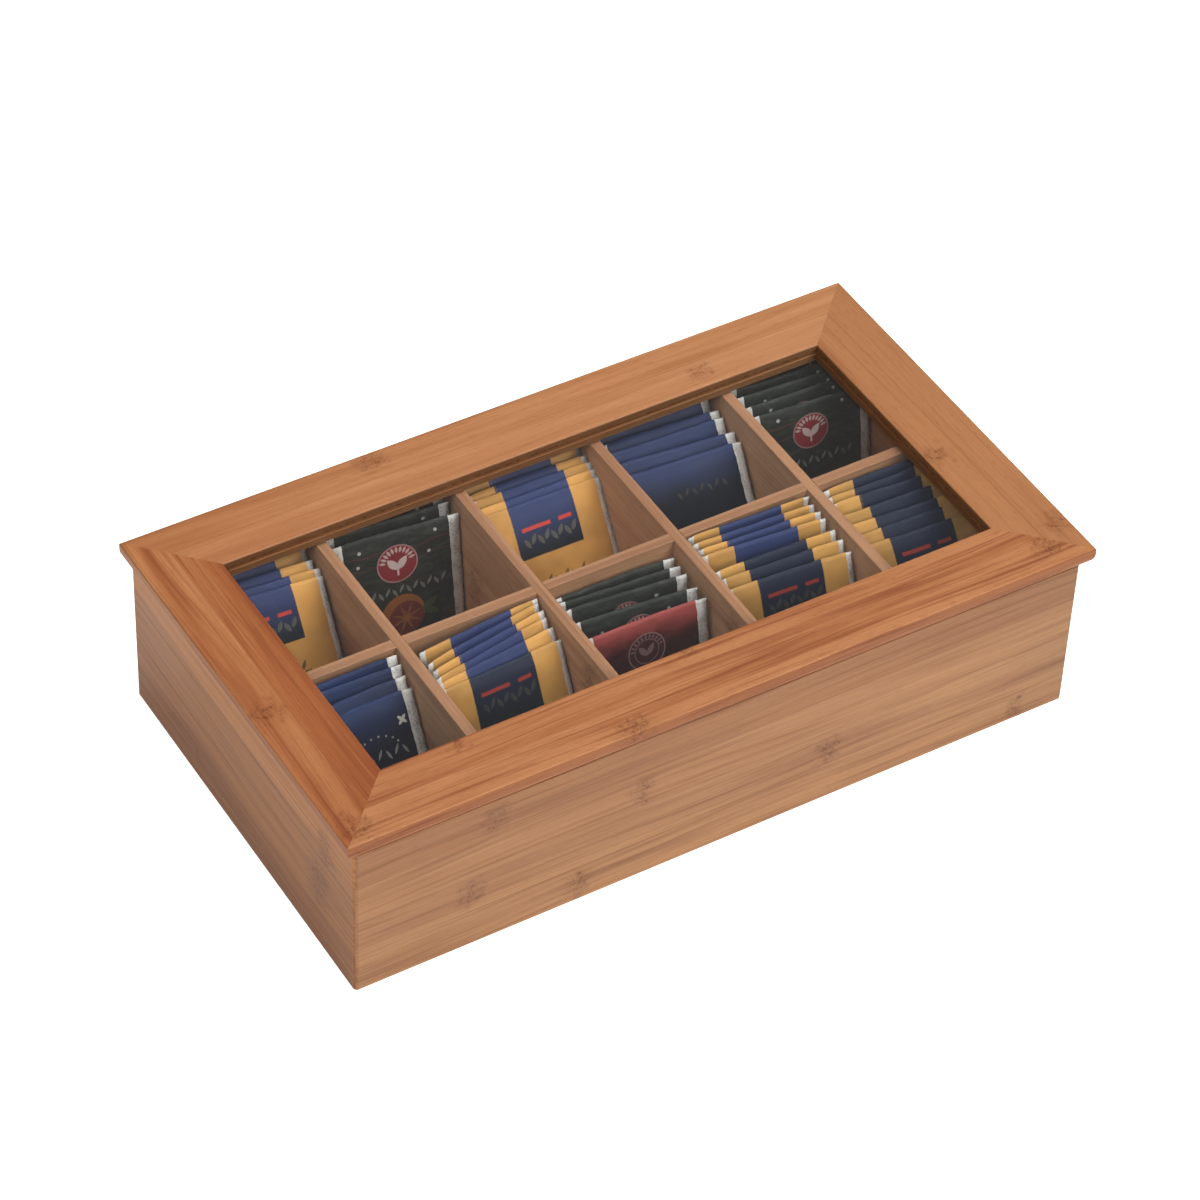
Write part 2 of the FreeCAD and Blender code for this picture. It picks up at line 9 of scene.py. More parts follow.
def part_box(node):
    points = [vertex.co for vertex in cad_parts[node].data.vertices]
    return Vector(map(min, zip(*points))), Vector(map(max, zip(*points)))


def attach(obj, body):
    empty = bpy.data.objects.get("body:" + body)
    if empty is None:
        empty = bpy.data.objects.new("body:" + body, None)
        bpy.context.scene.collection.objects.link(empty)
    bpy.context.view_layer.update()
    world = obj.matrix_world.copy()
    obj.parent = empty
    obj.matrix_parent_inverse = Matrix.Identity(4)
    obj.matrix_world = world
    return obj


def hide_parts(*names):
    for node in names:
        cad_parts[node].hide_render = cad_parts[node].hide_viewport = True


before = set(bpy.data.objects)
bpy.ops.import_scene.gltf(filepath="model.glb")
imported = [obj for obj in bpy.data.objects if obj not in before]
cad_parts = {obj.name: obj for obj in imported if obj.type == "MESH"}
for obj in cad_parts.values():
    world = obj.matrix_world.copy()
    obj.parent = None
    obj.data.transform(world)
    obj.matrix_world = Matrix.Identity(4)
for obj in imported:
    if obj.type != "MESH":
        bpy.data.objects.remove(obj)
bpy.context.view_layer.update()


# --------------------------------------------
# Camera. A long lens looks down on the box from in front of its left corner, tilted a little,
# so that the glazed lid, the front wall and the left wall all show.
# --------------------------------------------
EYE = Vector((-0.7484, -1.1633, 1.3738))
AIM = Vector((0.0045, 0.0120, 0.0450))
LENS_LENGTH = 134.4
SENSOR_WIDTH = 36.0
CAMERA_ROLL = math.radians(2.69)

camera_body = bpy.data.cameras.new("studio_camera")
camera_body.lens = LENS_LENGTH
camera_body.sensor_width = SENSOR_WIDTH
camera = bpy.data.objects.new("studio_camera", camera_body)
camera.location = EYE
camera.rotation_mode = "QUATERNION"
camera.rotation_quaternion = (AIM - EYE).to_track_quat("-Z", "Y") @ Quaternion((0, 0, 1), CAMERA_ROLL)
bpy.context.scene.collection.objects.link(camera)
bpy.context.scene.camera = camera


# --------------------------------------------
# Studio. The box stands on a white light table under three soft lamps: one over the front
# right, one above and a weaker one on the left. The table's glow takes up the shadows.
# --------------------------------------------
MM = 0.001
BOARD_REACH = 4.0
BOARD_DROP = 0.2 * MM
BOARD_WHITE = (0.90, 0.90, 0.89, 1)
BOARD_GLOW = 0.42
BOARD_WHITE_OUT = 0.5
ROOM_WHITE = (1.0, 0.99, 0.975, 1)
ROOM_STRENGTH = 0.24
LAMPS = {
    "front_lamp": dict(place=(0.9, -2.2, 1.6), across=1.2, power=35, tint=(1.0, 0.985, 0.96)),
    "top_lamp": dict(place=(0.5, -0.1, 2.2), across=1.2, power=33, tint=(1.0, 0.99, 0.975)),
    "left_lamp": dict(place=(-1.7, -0.7, 1.8), across=1.4, power=15, tint=(0.97, 0.98, 1.0)),
}
LAMP_AIM = Vector((0, 0, 0.04))


def plug(tree, socket, value):
    if isinstance(value, bpy.types.NodeSocket):
        tree.links.new(value, socket)
    else:
        socket.default_value = value


def node(tree, kind, inputs=None, **settings):
    made = tree.nodes.new(kind)
    for name, value in settings.items():
        setattr(made, name, value)
    for socket, value in (inputs or {}).items():
        plug(tree, made.inputs[socket], value)
    return made


def maths(tree, operation, *values):
    return node(tree, "ShaderNodeMath", dict(enumerate(values)), operation=operation).outputs[0]


def bump(tree, height, strength, distance):
    given = {"Height": height, "Strength": strength, "Distance": distance}
    return node(tree, "ShaderNodeBump", given).outputs[0]


def new_material(name):
    material = bpy.data.materials.new(name)
    material.use_nodes = True
    tree = material.node_tree
    return material, tree, tree.nodes["Principled BSDF"]


def set_shader(tree, shader, given):
    for socket, value in given.items():
        plug(tree, shader.inputs[socket], value)


def lay_studio_board():
    mesh = bpy.data.meshes.new("studio_board")
    low, high = -BOARD_REACH, BOARD_REACH
    corners = [(low, low, 0), (high, low, 0), (high, high, 0), (low, high, 0)]
    mesh.from_pydata(corners, [], [(0, 1, 2, 3)])
    board = bpy.data.objects.new("studio_board", mesh)
    board.location.z = -BOARD_DROP
    bpy.context.scene.collection.objects.link(board)
    material, tree, shader = new_material("matt_white_board")
    place = node(tree, "ShaderNodeTexCoord").outputs["Object"]
    tooth = node(tree, "ShaderNodeTexNoise", {"Vector": place, "Scale": 900.0}).outputs[0]
    seen = node(tree, "ShaderNodeLightPath").outputs["Is Camera Ray"]
    finish = {"Base Color": BOARD_WHITE, "Emission Color": BOARD_WHITE, "Roughness": 0.9}
    finish["Emission Strength"] = maths(tree, "MULTIPLY_ADD", seen, BOARD_WHITE_OUT, BOARD_GLOW)
    finish["Normal"] = bump(tree, tooth, 0.05, 0.0002)
    set_shader(tree, shader, finish)
    mesh.materials.append(material)


def hang_lamp(name, place, across, power, tint):
    lamp = bpy.data.lights.new(name, "AREA")
    lamp.shape = "SQUARE"
    lamp.size = across
    lamp.energy = power
    lamp.color = tint
    hung = bpy.data.objects.new(name, lamp)
    hung.location = place
    hung.rotation_mode = "QUATERNION"
    hung.rotation_quaternion = (LAMP_AIM - Vector(place)).to_track_quat("-Z", "Y")
    bpy.context.scene.collection.objects.link(hung)


lay_studio_board()
for lamp_name, lamp_facts in LAMPS.items():
    hang_lamp(lamp_name, **lamp_facts)
room = bpy.data.worlds.new("pale_room")
room.use_nodes = True
room_light = room.node_tree.nodes["Background"]
room_light.inputs["Color"].default_value = ROOM_WHITE
room_light.inputs["Strength"].default_value = ROOM_STRENGTH
bpy.context.scene.world = room
bpy.context.scene.view_settings.view_transform = "Standard"


# --------------------------------------------
# Floor board. A thin bamboo sheet let into a rebate under the four walls, without lacquer.
# Bamboo board is split cane planed to slats, glued edge to edge; each slat has its own tone,
# long fibres and a mottled knuckle every hand's breadth.
# --------------------------------------------
WALL_SLAT = 20.0
PLY = 3.2
KNUCKLE_GROUND = 0.22
KNUCKLE_STRENGTH = 0.8
KNUCKLE_SHARE = (0.52, 0.42, 0.36)
KNUCKLE_DEPTH = 6.0
COAT_ROUGHNESS = 0.32
AXES = {"x": 0, "y": 1, "z": 2}


def between(tree, value, low, high, at_low=0.0, at_high=1.0):
    """A smooth step: at_low where the value is low, at_high where it is high."""
    given = {"Value": value, "From Min": low, "From Max": high, "To Min": at_low, "To Max": at_high}
    return node(tree, "ShaderNodeMapRange", given, interpolation_type="SMOOTHSTEP").outputs[0]


def stamp(tree, under, mask, over, blend="MIX"):
    """Lays one colour over another where the mask is 1."""
    given = {0: mask, 6: under, 7: over}
    return node(tree, "ShaderNodeMix", given, data_type="RGBA", blend_type=blend).outputs[2]


def toned(tree, colour, mask, factor):
    return stamp(tree, colour, mask, (*factor, 1), "MULTIPLY")


def weaker(tree, mask, strength):
    return maths(tree, "MULTIPLY", mask, strength)


def vector_maths(tree, operation, *values):
    made = node(tree, "ShaderNodeVectorMath", dict(enumerate(values)), operation=operation)
    return made.outputs["Value" if operation in ("DISTANCE", "DOT_PRODUCT") else "Vector"]


def split(tree, vector):
    return node(tree, "ShaderNodeSeparateXYZ", {0: vector}).outputs


def joined(tree, x, y, z):
    return node(tree, "ShaderNodeCombineXYZ", {0: x, 1: y, 2: z}).outputs[0]


def stretched(tree, place, stretch):
    return vector_maths(tree, "MULTIPLY", place, stretch)


def mottle(tree, vector, scale=1.0, detail=2.0, rough=0.5, bend=0.0):
    given = {"Vector": vector, "Scale": scale, "Detail": detail, "Roughness": rough, "Distortion": bend}
    return node(tree, "ShaderNodeTexNoise", given).outputs[0]


def new_group(name, inputs, outputs):
    group = bpy.data.node_groups.new(name, "ShaderNodeTree")
    for label, kind in inputs.items():
        group.interface.new_socket(label, in_out="INPUT", socket_type="NodeSocket" + kind)
    for label, kind in outputs.items():
        group.interface.new_socket(label, in_out="OUTPUT", socket_type="NodeSocket" + kind)
    given = group.nodes.new("NodeGroupInput").outputs
    put = group.nodes.new("NodeGroupOutput").inputs
    return group, given, put


def use_group(tree, group, given):
    return node(tree, "ShaderNodeGroup", given, node_tree=group).outputs


def bamboo_slats_group():
    """Grain of glued slats: Place is in mm, X along the fibres, Y across the slats, Z into the board."""
    inputs = {"Place": "Vector", "Slat": "Float", "Seed": "Float", "Pale": "Color", "Body": "Color"}
    inputs |= {"Deep": "Color", "Streaks": "Float", "Slat Contrast": "Float"}
    outputs = {"Colour": "Color", "Relief": "Float", "Gloss": "Float"}
    tree, given, put = new_group("bamboo_slats", inputs, outputs)
    parts = split(tree, given["Place"])
    slat_place = maths(tree, "DIVIDE", parts[1], given["Slat"])
    slat_number = maths(tree, "FLOOR", slat_place)
    ply_number = maths(tree, "FLOOR", maths(tree, "MULTIPLY_ADD", parts[2], 1 / PLY, 0.02))
    number = joined(tree, slat_number, ply_number, given["Seed"])
    chance = node(tree, "ShaderNodeTexWhiteNoise", {0: number}, noise_dimensions="3D").outputs
    shift = vector_maths(tree, "MULTIPLY", chance["Color"], (900, 300, 300))
    own = vector_maths(tree, "ADD", given["Place"], shift)
    sway = mottle(tree, stretched(tree, own, (0.006, 0.02, 0.02)), detail=1.0)
    sway = maths(tree, "MULTIPLY_ADD", sway, 9.0, -4.5)
    own = vector_maths(tree, "ADD", own, joined(tree, 0.0, sway, 0.0))

    def grain(along, across, detail, rough=0.5):
        return mottle(tree, stretched(tree, own, (along, across, across)), detail=detail, rough=rough)

    bands = grain(0.0060, 0.11, 3.0, 0.62)
    streaks = grain(0.0085, 0.36, 3.0, 0.62)
    veins = grain(0.011, 0.95, 2.0, 0.6)
    fibres = grain(0.05, 3.4, 2.0, 0.6)
    flecks = grain(0.20, 2.2, 1.0)
    tone = maths(tree, "SUBTRACT", chance["Value"], 0.5)
    tone = maths(tree, "MULTIPLY_ADD", tone, given["Slat Contrast"], bands)
    colour = stamp(tree, given["Body"], between(tree, tone, 0.36, 0.68), given["Pale"])

    def darkened(under, pattern, start, end, strength):
        dark = maths(tree, "MULTIPLY", between(tree, pattern, start, end), given["Streaks"])
        return stamp(tree, under, weaker(tree, dark, strength), given["Deep"])

    colour = darkened(colour, bands, 0.47, 0.30, 0.6)
    colour = darkened(colour, streaks, 0.50, 0.70, 0.9)
    pale_streaks = between(tree, streaks, 0.46, 0.30)
    colour = stamp(tree, colour, weaker(tree, pale_streaks, 0.5), given["Pale"])
    colour = darkened(colour, veins, 0.52, 0.70, 0.6)
    fibre_tone = between(tree, fibres, 0.3, 0.7, 0.93, 1.05)
    colour = stamp(tree, colour, 1.0, joined(tree, fibre_tone, fibre_tone, fibre_tone), "MULTIPLY")
    dark_flecks = weaker(tree, between(tree, flecks, 0.60, 0.70), 0.32)
    colour = stamp(tree, colour, dark_flecks, given["Deep"])
    from_middle = maths(tree, "SUBTRACT", maths(tree, "FRACT", slat_place), 0.5)
    from_edge = maths(tree, "SUBTRACT", 0.5, maths(tree, "ABSOLUTE", from_middle))
    from_edge = maths(tree, "MULTIPLY", from_edge, given["Slat"])
    glue = between(tree, from_edge, 0.32, 0.05)
    colour = stamp(tree, colour, weaker(tree, glue, 0.34), given["Deep"])
    relief = maths(tree, "MULTIPLY_ADD", veins, 0.5, weaker(tree, fibres, 0.6))
    relief = maths(tree, "SUBTRACT", relief, weaker(tree, dark_flecks, 0.6))
    relief = maths(tree, "SUBTRACT", relief, weaker(tree, glue, 0.35))
    plug(tree, put["Colour"], colour)
    plug(tree, put["Relief"], relief)
    plug(tree, put["Gloss"], between(tree, maths(tree, "ADD", fibres, veins), 0.7, 1.3, 0.44, 0.60))
    return tree


def bamboo_knuckle_group():
    """One knuckle of the cane: a brown band over the slat, full of short ticks and scribbles."""
    inputs = {"Place": "Vector", "Centre": "Vector", "Reach": "Vector"}
    tree, given, put = new_group("bamboo_knuckle", inputs, {"Mark": "Float"})
    coarse = stretched(tree, given["Place"], (0.16, 0.20, 0.20))
    ragged = {"Vector": coarse, "Scale": 1.0, "Detail": 3.0, "Roughness": 0.6}
    wander = node(tree, "ShaderNodeTexNoise", ragged).outputs["Color"]
    wander = vector_maths(tree, "SUBTRACT", wander, (0.5, 0.5, 0.5))
    wander = vector_maths(tree, "MULTIPLY", wander, (22.0, 13.0, 0.0))
    away = vector_maths(tree, "SUBTRACT", given["Place"], given["Centre"])
    away = vector_maths(tree, "ADD", away, wander)
    away = vector_maths(tree, "DIVIDE", away, given["Reach"])
    parts = split(tree, vector_maths(tree, "ABSOLUTE", away))
    band = between(tree, parts[0], 1.15, 0.10)
    band = maths(tree, "MULTIPLY", band, between(tree, parts[1], 1.05, 0.45))
    band = maths(tree, "MULTIPLY", band, between(tree, parts[2], 1.0, 0.9))
    fine = stretched(tree, given["Place"], (0.34, 0.30, 0.30))
    scribble = mottle(tree, fine, detail=2.0, rough=0.6, bend=1.2)
    scribble = maths(tree, "ABSOLUTE", maths(tree, "SUBTRACT", scribble, 0.5))
    scribble = between(tree, scribble, 0.050, 0.005)
    finer = stretched(tree, given["Place"], (0.50, 0.62, 0.62))
    ticks = between(tree, mottle(tree, finer, detail=2.0, rough=0.6, bend=0.6), 0.50, 0.64)
    marks = maths(tree, "MAXIMUM", weaker(tree, scribble, 0.75), weaker(tree, ticks, 0.9))
    marks = maths(tree, "MAXIMUM", marks, KNUCKLE_GROUND)
    plug(tree, put["Mark"], maths(tree, "MULTIPLY", band, marks))
    return tree


BAMBOO_SLATS = bamboo_slats_group()
BAMBOO_KNUCKLE = bamboo_knuckle_group()


def board_place(tree, along, across, into, into_from, across_from=0.0):
    """The place on a board in mm. Its layout names the axes along the fibres, across the slats
    and into the board, then where its face and its first slat lie."""
    object_place = node(tree, "ShaderNodeTexCoord").outputs["Object"]
    measured = stretched(tree, object_place, (1000, 1000, 1000))
    parts = split(tree, measured)
    across_place = maths(tree, "SUBTRACT", parts[AXES[across]], across_from)
    into_place = maths(tree, "ABSOLUTE", maths(tree, "SUBTRACT", parts[AXES[into]], into_from))
    return joined(tree, parts[AXES[along]], across_place, into_place)


def bamboo(
    name, seed, tones, layout, slat, streaks=0.5, contrast=0.5, knuckles=(), lacquer=0.10,
    shades=(), painted_light_fades=(),
):
    """A board's finish. Each shade is (from, to, factor) and tones the slats between two places;
    each fade is (start, end, factor): painted light and shade, toning the board more and more
    along its length."""
    material, tree, shader = new_material(name)
    place = board_place(tree, *layout)
    pale, body, deep = ((*tone, 1) for tone in tones)
    given = {"Place": place, "Slat": slat, "Seed": seed, "Pale": pale, "Body": body, "Deep": deep}
    given |= {"Streaks": streaks, "Slat Contrast": contrast}
    slats = use_group(tree, BAMBOO_SLATS, given)
    colour = slats["Colour"]
    parts = split(tree, place)
    for low, high, factor in shades:
        above = maths(tree, "SUBTRACT", parts[1], low)
        below = maths(tree, "SUBTRACT", high, parts[1])
        inside = between(tree, maths(tree, "MINIMUM", above, below), -0.15, 0.15)
        colour = toned(tree, colour, inside, factor)
    # painted light and shade along the board's length
    for start, end, factor in painted_light_fades:
        colour = toned(tree, colour, between(tree, parts[0], start, end), factor)
    brown = tuple(share * part for share, part in zip(KNUCKLE_SHARE, tones[2])) + (1,)
    for along, across, length, width in knuckles:
        given = {"Place": place, "Centre": (along, across, 0), "Reach": (length, width, KNUCKLE_DEPTH)}
        mark = use_group(tree, BAMBOO_KNUCKLE, given)["Mark"]
        colour = stamp(tree, colour, weaker(tree, mark, KNUCKLE_STRENGTH), brown)
    finish = {"Base Color": colour, "Roughness": slats["Gloss"], "Specular IOR Level": 0.3}
    finish |= {"Coat Weight": lacquer, "Coat Roughness": COAT_ROUGHNESS}
    finish["Normal"] = bump(tree, slats["Relief"], 0.3, 0.0002)
    set_shader(tree, shader, finish)
    return material


def finish_node(name, material):
    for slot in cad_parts[name].material_slots:
        slot.material = material


RAW_BAMBOO = ((0.50, 0.29, 0.15), (0.41, 0.22, 0.11), (0.25, 0.12, 0.055))
FLOOR_TOP = 4.0
FLOOR_LAYOUT = ("x", "y", "z", FLOOR_TOP)
raw_bamboo = bamboo("raw_bamboo_floor", 3.1, RAW_BAMBOO, FLOOR_LAYOUT, WALL_SLAT, lacquer=0.0)
finish_node("floor_panel", raw_bamboo)


# --------------------------------------------
# Walls. Four boards of four slats each, mitred and glued round the floor, sanded and given one
# thin satin coat. The second slat from the top of the front board is paler than the rest.
# --------------------------------------------
FRONT_TONES = ((0.403, 0.197, 0.080), (0.323, 0.147, 0.059), (0.198, 0.076, 0.027))
# the side boards are the same bamboo; this darker copy of the wall tones is painted shade
SIDE_TONES_WITH_PAINTED_SHADE = ((0.325, 0.124, 0.031), (0.254, 0.088, 0.020), (0.150, 0.047, 0.010))
# each knuckle is (along, across, half length, half width) in mm
FRONT_KNUCKLES = (
    (-111, 69.5, 8, 9.6), (-122, 30, 7, 9.6), (-70, 10, 8, 9.6),
    (-41, 50, 7, 9.6), (52, 29, 8, 9.6), (150, 7, 6, 8),
)
BACK_KNUCKLES = ((-134, 50, 8, 9.6), (-20, 30, 7, 9.6), (44, 70, 8, 9.6), (118, 10, 8, 9.6))
LEFT_KNUCKLES = ((-68, 36, 12, 16), (-74, 60, 8, 12), (42, 14, 2.0, 1.5))
RIGHT_KNUCKLES = ((-38, 50, 8, 9.6), (30, 10, 7, 9.6), (66, 70, 8, 9.6))
FRONT_SHADES = ((60, 80, (0.96, 0.90, 0.84)), (40, 60, (1.12, 1.13, 1.12)))
# painted shade on the right end of the front board
FRONT_PAINTED_SHADE_FADE = ((110, 180, (0.90, 0.92, 0.93)),)
LEFT_SHADES = ((60, 80, (1.28, 1.31, 1.34)),)
FRONT_LAYOUT = ("x", "z", "y", -98.5)
BACK_LAYOUT = ("x", "z", "y", 98.5)
LEFT_LAYOUT = ("y", "z", "x", -175.5)
RIGHT_LAYOUT = ("y", "z", "x", 175.5)


def wall_board(side, seed, tones, layout, streaks, contrast, knuckles, shades=(), painted_light_fades=()):
    board = bamboo(
        f"bamboo_{side}_board", seed, tones, layout, WALL_SLAT, streaks, contrast, knuckles,
        shades=shades, painted_light_fades=painted_light_fades,
    )
    finish_node(side + "_panel", board)


wall_board(
    "front", 7.3, FRONT_TONES, FRONT_LAYOUT, 0.75, 0.4, FRONT_KNUCKLES, FRONT_SHADES, FRONT_PAINTED_SHADE_FADE
)
wall_board("back", 2.9, FRONT_TONES, BACK_LAYOUT, 0.5, 0.6, BACK_KNUCKLES)
wall_board("left", 5.7, SIDE_TONES_WITH_PAINTED_SHADE, LEFT_LAYOUT, 0.6, 0.35, LEFT_KNUCKLES, LEFT_SHADES)
wall_board("right", 9.1, SIDE_TONES_WITH_PAINTED_SHADE, RIGHT_LAYOUT, 0.5, 0.5, RIGHT_KNUCKLES)


# --------------------------------------------
# Dividers. One long strip and four cross strips of thin bamboo, halved over each other and slid
# into grooves in the walls; sanded but not lacquered.
# --------------------------------------------
DIVIDER_SLAT = 26.0
DIVIDER_TONES = ((0.62, 0.350, 0.188), (0.515, 0.270, 0.138), (0.33, 0.153, 0.074))
# painted shade: darkens the upward faces of the dividers, which face the lamp overhead
DIVIDER_TOP_PAINTED_SHADE = (0.70, 0.63, 0.60)
LONG_LAYOUT = ("x", "z", "y", -2.5)
LONG_KNUCKLES = ((-120, 65, 7, 12), (-10, 65, 7, 12), (76, 39, 7, 12))


def side_mask(tree, direction):
    """1 on the faces that look in a direction, 0 on the others."""
    normal = node(tree, "ShaderNodeTexCoord").outputs["Normal"]
    return between(tree, vector_maths(tree, "DOT_PRODUCT", normal, direction), 0.35, 0.85)


def divider_strip(name, seed, layout, knuckles):
    """A strip of the grid; its top edge is darkened with painted shade, as it faces the lamp."""
    strip = bamboo(
        "bamboo_" + name, seed, DIVIDER_TONES, layout, DIVIDER_SLAT, 0.4, 0.35, knuckles, lacquer=0.0
    )
    tree = strip.node_tree
    base = tree.nodes["Principled BSDF"].inputs["Base Color"]
    # painted shade on the top edge
    plug(tree, base, toned(tree, base.links[0].from_socket, side_mask(tree, (0, 0, 1)), DIVIDER_TOP_PAINTED_SHADE))
    finish_node(name, strip)


def finish_cross_divider(name, seed):
    low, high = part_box(name)
    knuckles = ((-52 + 9 * math.sin(seed), 65, 7, 12), (40 + 12 * math.cos(seed), 39, 7, 12))
    divider_strip(name, seed, ("y", "z", "x", low.x / MM), knuckles)


divider_strip("long_divider", 4.4, LONG_LAYOUT, LONG_KNUCKLES)
for divider_number in range(4):
    finish_cross_divider(f"cross_divider_{divider_number + 1}", 11.0 + 2.3 * divider_number)


# --------------------------------------------
# Hinges and screws. Two small nickel-plated steel butt hinges let into the back edge, each with
# a drawn pin and four countersunk screws; plating keeps the fine lines of the rolled strip.
# --------------------------------------------
NICKEL = (0.66, 0.645, 0.61, 1)


def nickel(name, line_stretch, rough_low, rough_high):
    material, tree, shader = new_material(name)
    place = node(tree, "ShaderNodeTexCoord").outputs["Object"]
    lines = mottle(tree, stretched(tree, place, line_stretch), detail=3.0, rough=0.7)
    smears = mottle(tree, place, scale=220.0, detail=3.0)
    tone = between(tree, smears, 0.3, 0.7, 0.88, 1.0)
    shine = maths(tree, "MULTIPLY_ADD", smears, 0.4, weaker(tree, lines, 0.6))
    finish = {"Base Color": stamp(tree, NICKEL, 1.0, joined(tree, tone, tone, tone), "MULTIPLY")}
    finish |= {"Metallic": 1.0, "Roughness": between(tree, shine, 0.3, 0.7, rough_low, rough_high)}
    finish["Normal"] = bump(tree, lines, 0.25, 0.00005)
    set_shader(tree, shader, finish)
    return material


hinge_nickel = nickel("nickel_hinge_strip", (400, 6000, 6000), 0.24, 0.42)
screw_nickel = nickel("nickel_screw_heads", (3000, 3000, 3000), 0.20, 0.36)
for node_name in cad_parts:
    if "screws" in node_name:
        finish_node(node_name, screw_nickel)
    elif "hinge" in node_name:
        finish_node(node_name, hinge_nickel)


# --------------------------------------------
# Tea envelopes. Each is a folded pocket of coated paper round a flat tea bag, pressed shut down
# both sides in a white ribbed seal. They stand loose in their compartments and lean back.
# --------------------------------------------
# width and height of an envelope, then its other measures, all in mm
TALL = (60.0, 75.5)
SHORT = (60.0, 70.0)
NARROW_SEAL = 2.7
NAVY_SEAL = 4.3
ROYAL_SEAL = 4.9
WIDE_SEAL = 5.2
BACK_SEAL = 3.5
THICKNESS = 2.4
MIDDLE_SHARE = 0.42
COLUMN_PITCH = 67.4
PILLOW_SIDE = 9.0
PILLOW_END = 7.0
FRONT_PAPER = 0.20
BACK_PAPER = 0.16
FRONT_FILLING = 1.38
BACK_FILLING = 0.40
HEAD_FILLING = 0.10
BROAD_CRUMPLE = 0.26
FINE_CRUMPLE = 0.10
RIDGE_HEIGHT = 0.09
SEAL_BLEND = 1.6
EDGE_PULL = 0.25
CORNER_PULL = 0.4
FOOT_GAP = 0.15
ACROSS_STEPS = 28
UP_STEPS = 26


def print_edge(tree, over, softness=0.15):
    """1 inside a printed shape, 0 outside; over is how far past its edge a place lies, in mm."""
    return between(tree, over, softness, -softness)


def print_patch_group():
    """A printed rectangle with a clean edge; Place, Centre and Reach are in mm."""
    inputs = {"Place": "Vector", "Centre": "Vector", "Reach": "Vector"}
    tree, given, put = new_group("print_patch", inputs, {"Mask": "Float"})
    away = vector_maths(tree, "SUBTRACT", given["Place"], given["Centre"])
    over = vector_maths(tree, "SUBTRACT", vector_maths(tree, "ABSOLUTE", away), given["Reach"])
    parts = split(tree, over)
    plug(tree, put["Mask"], print_edge(tree, maths(tree, "MAXIMUM", parts[0], parts[1])))
    return tree


def print_disc_group():
    """A printed round spot."""
    inputs = {"Place": "Vector", "Centre": "Vector", "Radius": "Float"}
    tree, given, put = new_group("print_disc", inputs, {"Mask": "Float"})
    distance = vector_maths(tree, "DISTANCE", given["Place"], given["Centre"])
    plug(tree, put["Mask"], print_edge(tree, maths(tree, "SUBTRACT", distance, given["Radius"])))
    return tree


def print_leaf_group():
    """A printed leaf: a lens shape of the given length and width, turned by an angle."""
    inputs = {"Place": "Vector", "Centre": "Vector", "Turn": "Float", "Length": "Float", "Width": "Float"}
    tree, given, put = new_group("print_leaf", inputs, {"Mask": "Float"})
    away = vector_maths(tree, "SUBTRACT", given["Place"], given["Centre"])
    turn = {"Vector": away, "Angle": maths(tree, "MULTIPLY", given["Turn"], -1.0)}
    turned = node(tree, "ShaderNodeVectorRotate", turn, rotation_type="Z_AXIS").outputs[0]
    parts = split(tree, turned)
    share = maths(tree, "DIVIDE", parts[0], weaker(tree, given["Length"], 0.5))
    bow = maths(tree, "SUBTRACT", 1.0, maths(tree, "MULTIPLY", share, share))
    reach = maths(tree, "MULTIPLY", bow, weaker(tree, given["Width"], 0.5))
    over = maths(tree, "SUBTRACT", maths(tree, "ABSOLUTE", parts[1]), reach)
    plug(tree, put["Mask"], print_edge(tree, over, 0.12))
    return tree


def paper_crease_group():
    """Handling creases of coated paper, and the white pressed seals with their grain."""
    inputs = {"Place": "Vector", "Half Width": "Float", "Seal Width": "Float"}
    outputs = {"Seal": "Float", "Crease": "Float", "Seal Tone": "Color"}
    tree, given, put = new_group("paper_crease", inputs, outputs)
    parts = split(tree, given["Place"])
    own = stretched(tree, given["Place"], (1, 1, 37))
    ragged = maths(tree, "MULTIPLY_ADD", mottle(tree, own, 0.22), 1.0, -0.5)
    inside = maths(tree, "SUBTRACT", given["Half Width"], maths(tree, "ABSOLUTE", parts[0]))
    inside = maths(tree, "SUBTRACT", maths(tree, "ADD", inside, ragged), given["Seal Width"])
    seal = print_edge(tree, inside)
    folds = mottle(tree, own, 0.055, 4.0, 0.62, 0.6)
    folds = maths(tree, "ABSOLUTE", maths(tree, "SUBTRACT", folds, 0.5))
    tooth = mottle(tree, own, 1.6, 2.0)
    grain = mottle(tree, stretched(tree, own, (0.75, 1.5, 1.0)), 1.0, 3.0, 0.7)
    pressed = maths(tree, "MULTIPLY", grain, weaker(tree, seal, 0.30))
    crease = maths(tree, "MULTIPLY_ADD", tooth, 0.015, maths(tree, "ADD", folds, pressed))
    smudge = mottle(tree, stretched(tree, own, (0.30, 0.13, 1.0)), 1.0, 2.0)
    grime = maths(tree, "MULTIPLY_ADD", grain, 0.55, weaker(tree, smudge, 0.45))
    plug(tree, put["Seal"], seal)
    plug(tree, put["Crease"], crease)
    clean = between(tree, grime, 0.34, 0.56)
    plug(tree, put["Seal Tone"], stamp(tree, (0.30, 0.30, 0.295, 1), clean, (0.66, 0.655, 0.635, 1)))
    return tree


PRINT_PATCH = print_patch_group()
PRINT_DISC = print_disc_group()
PRINT_LEAF = print_leaf_group()
PAPER_CREASE = paper_crease_group()


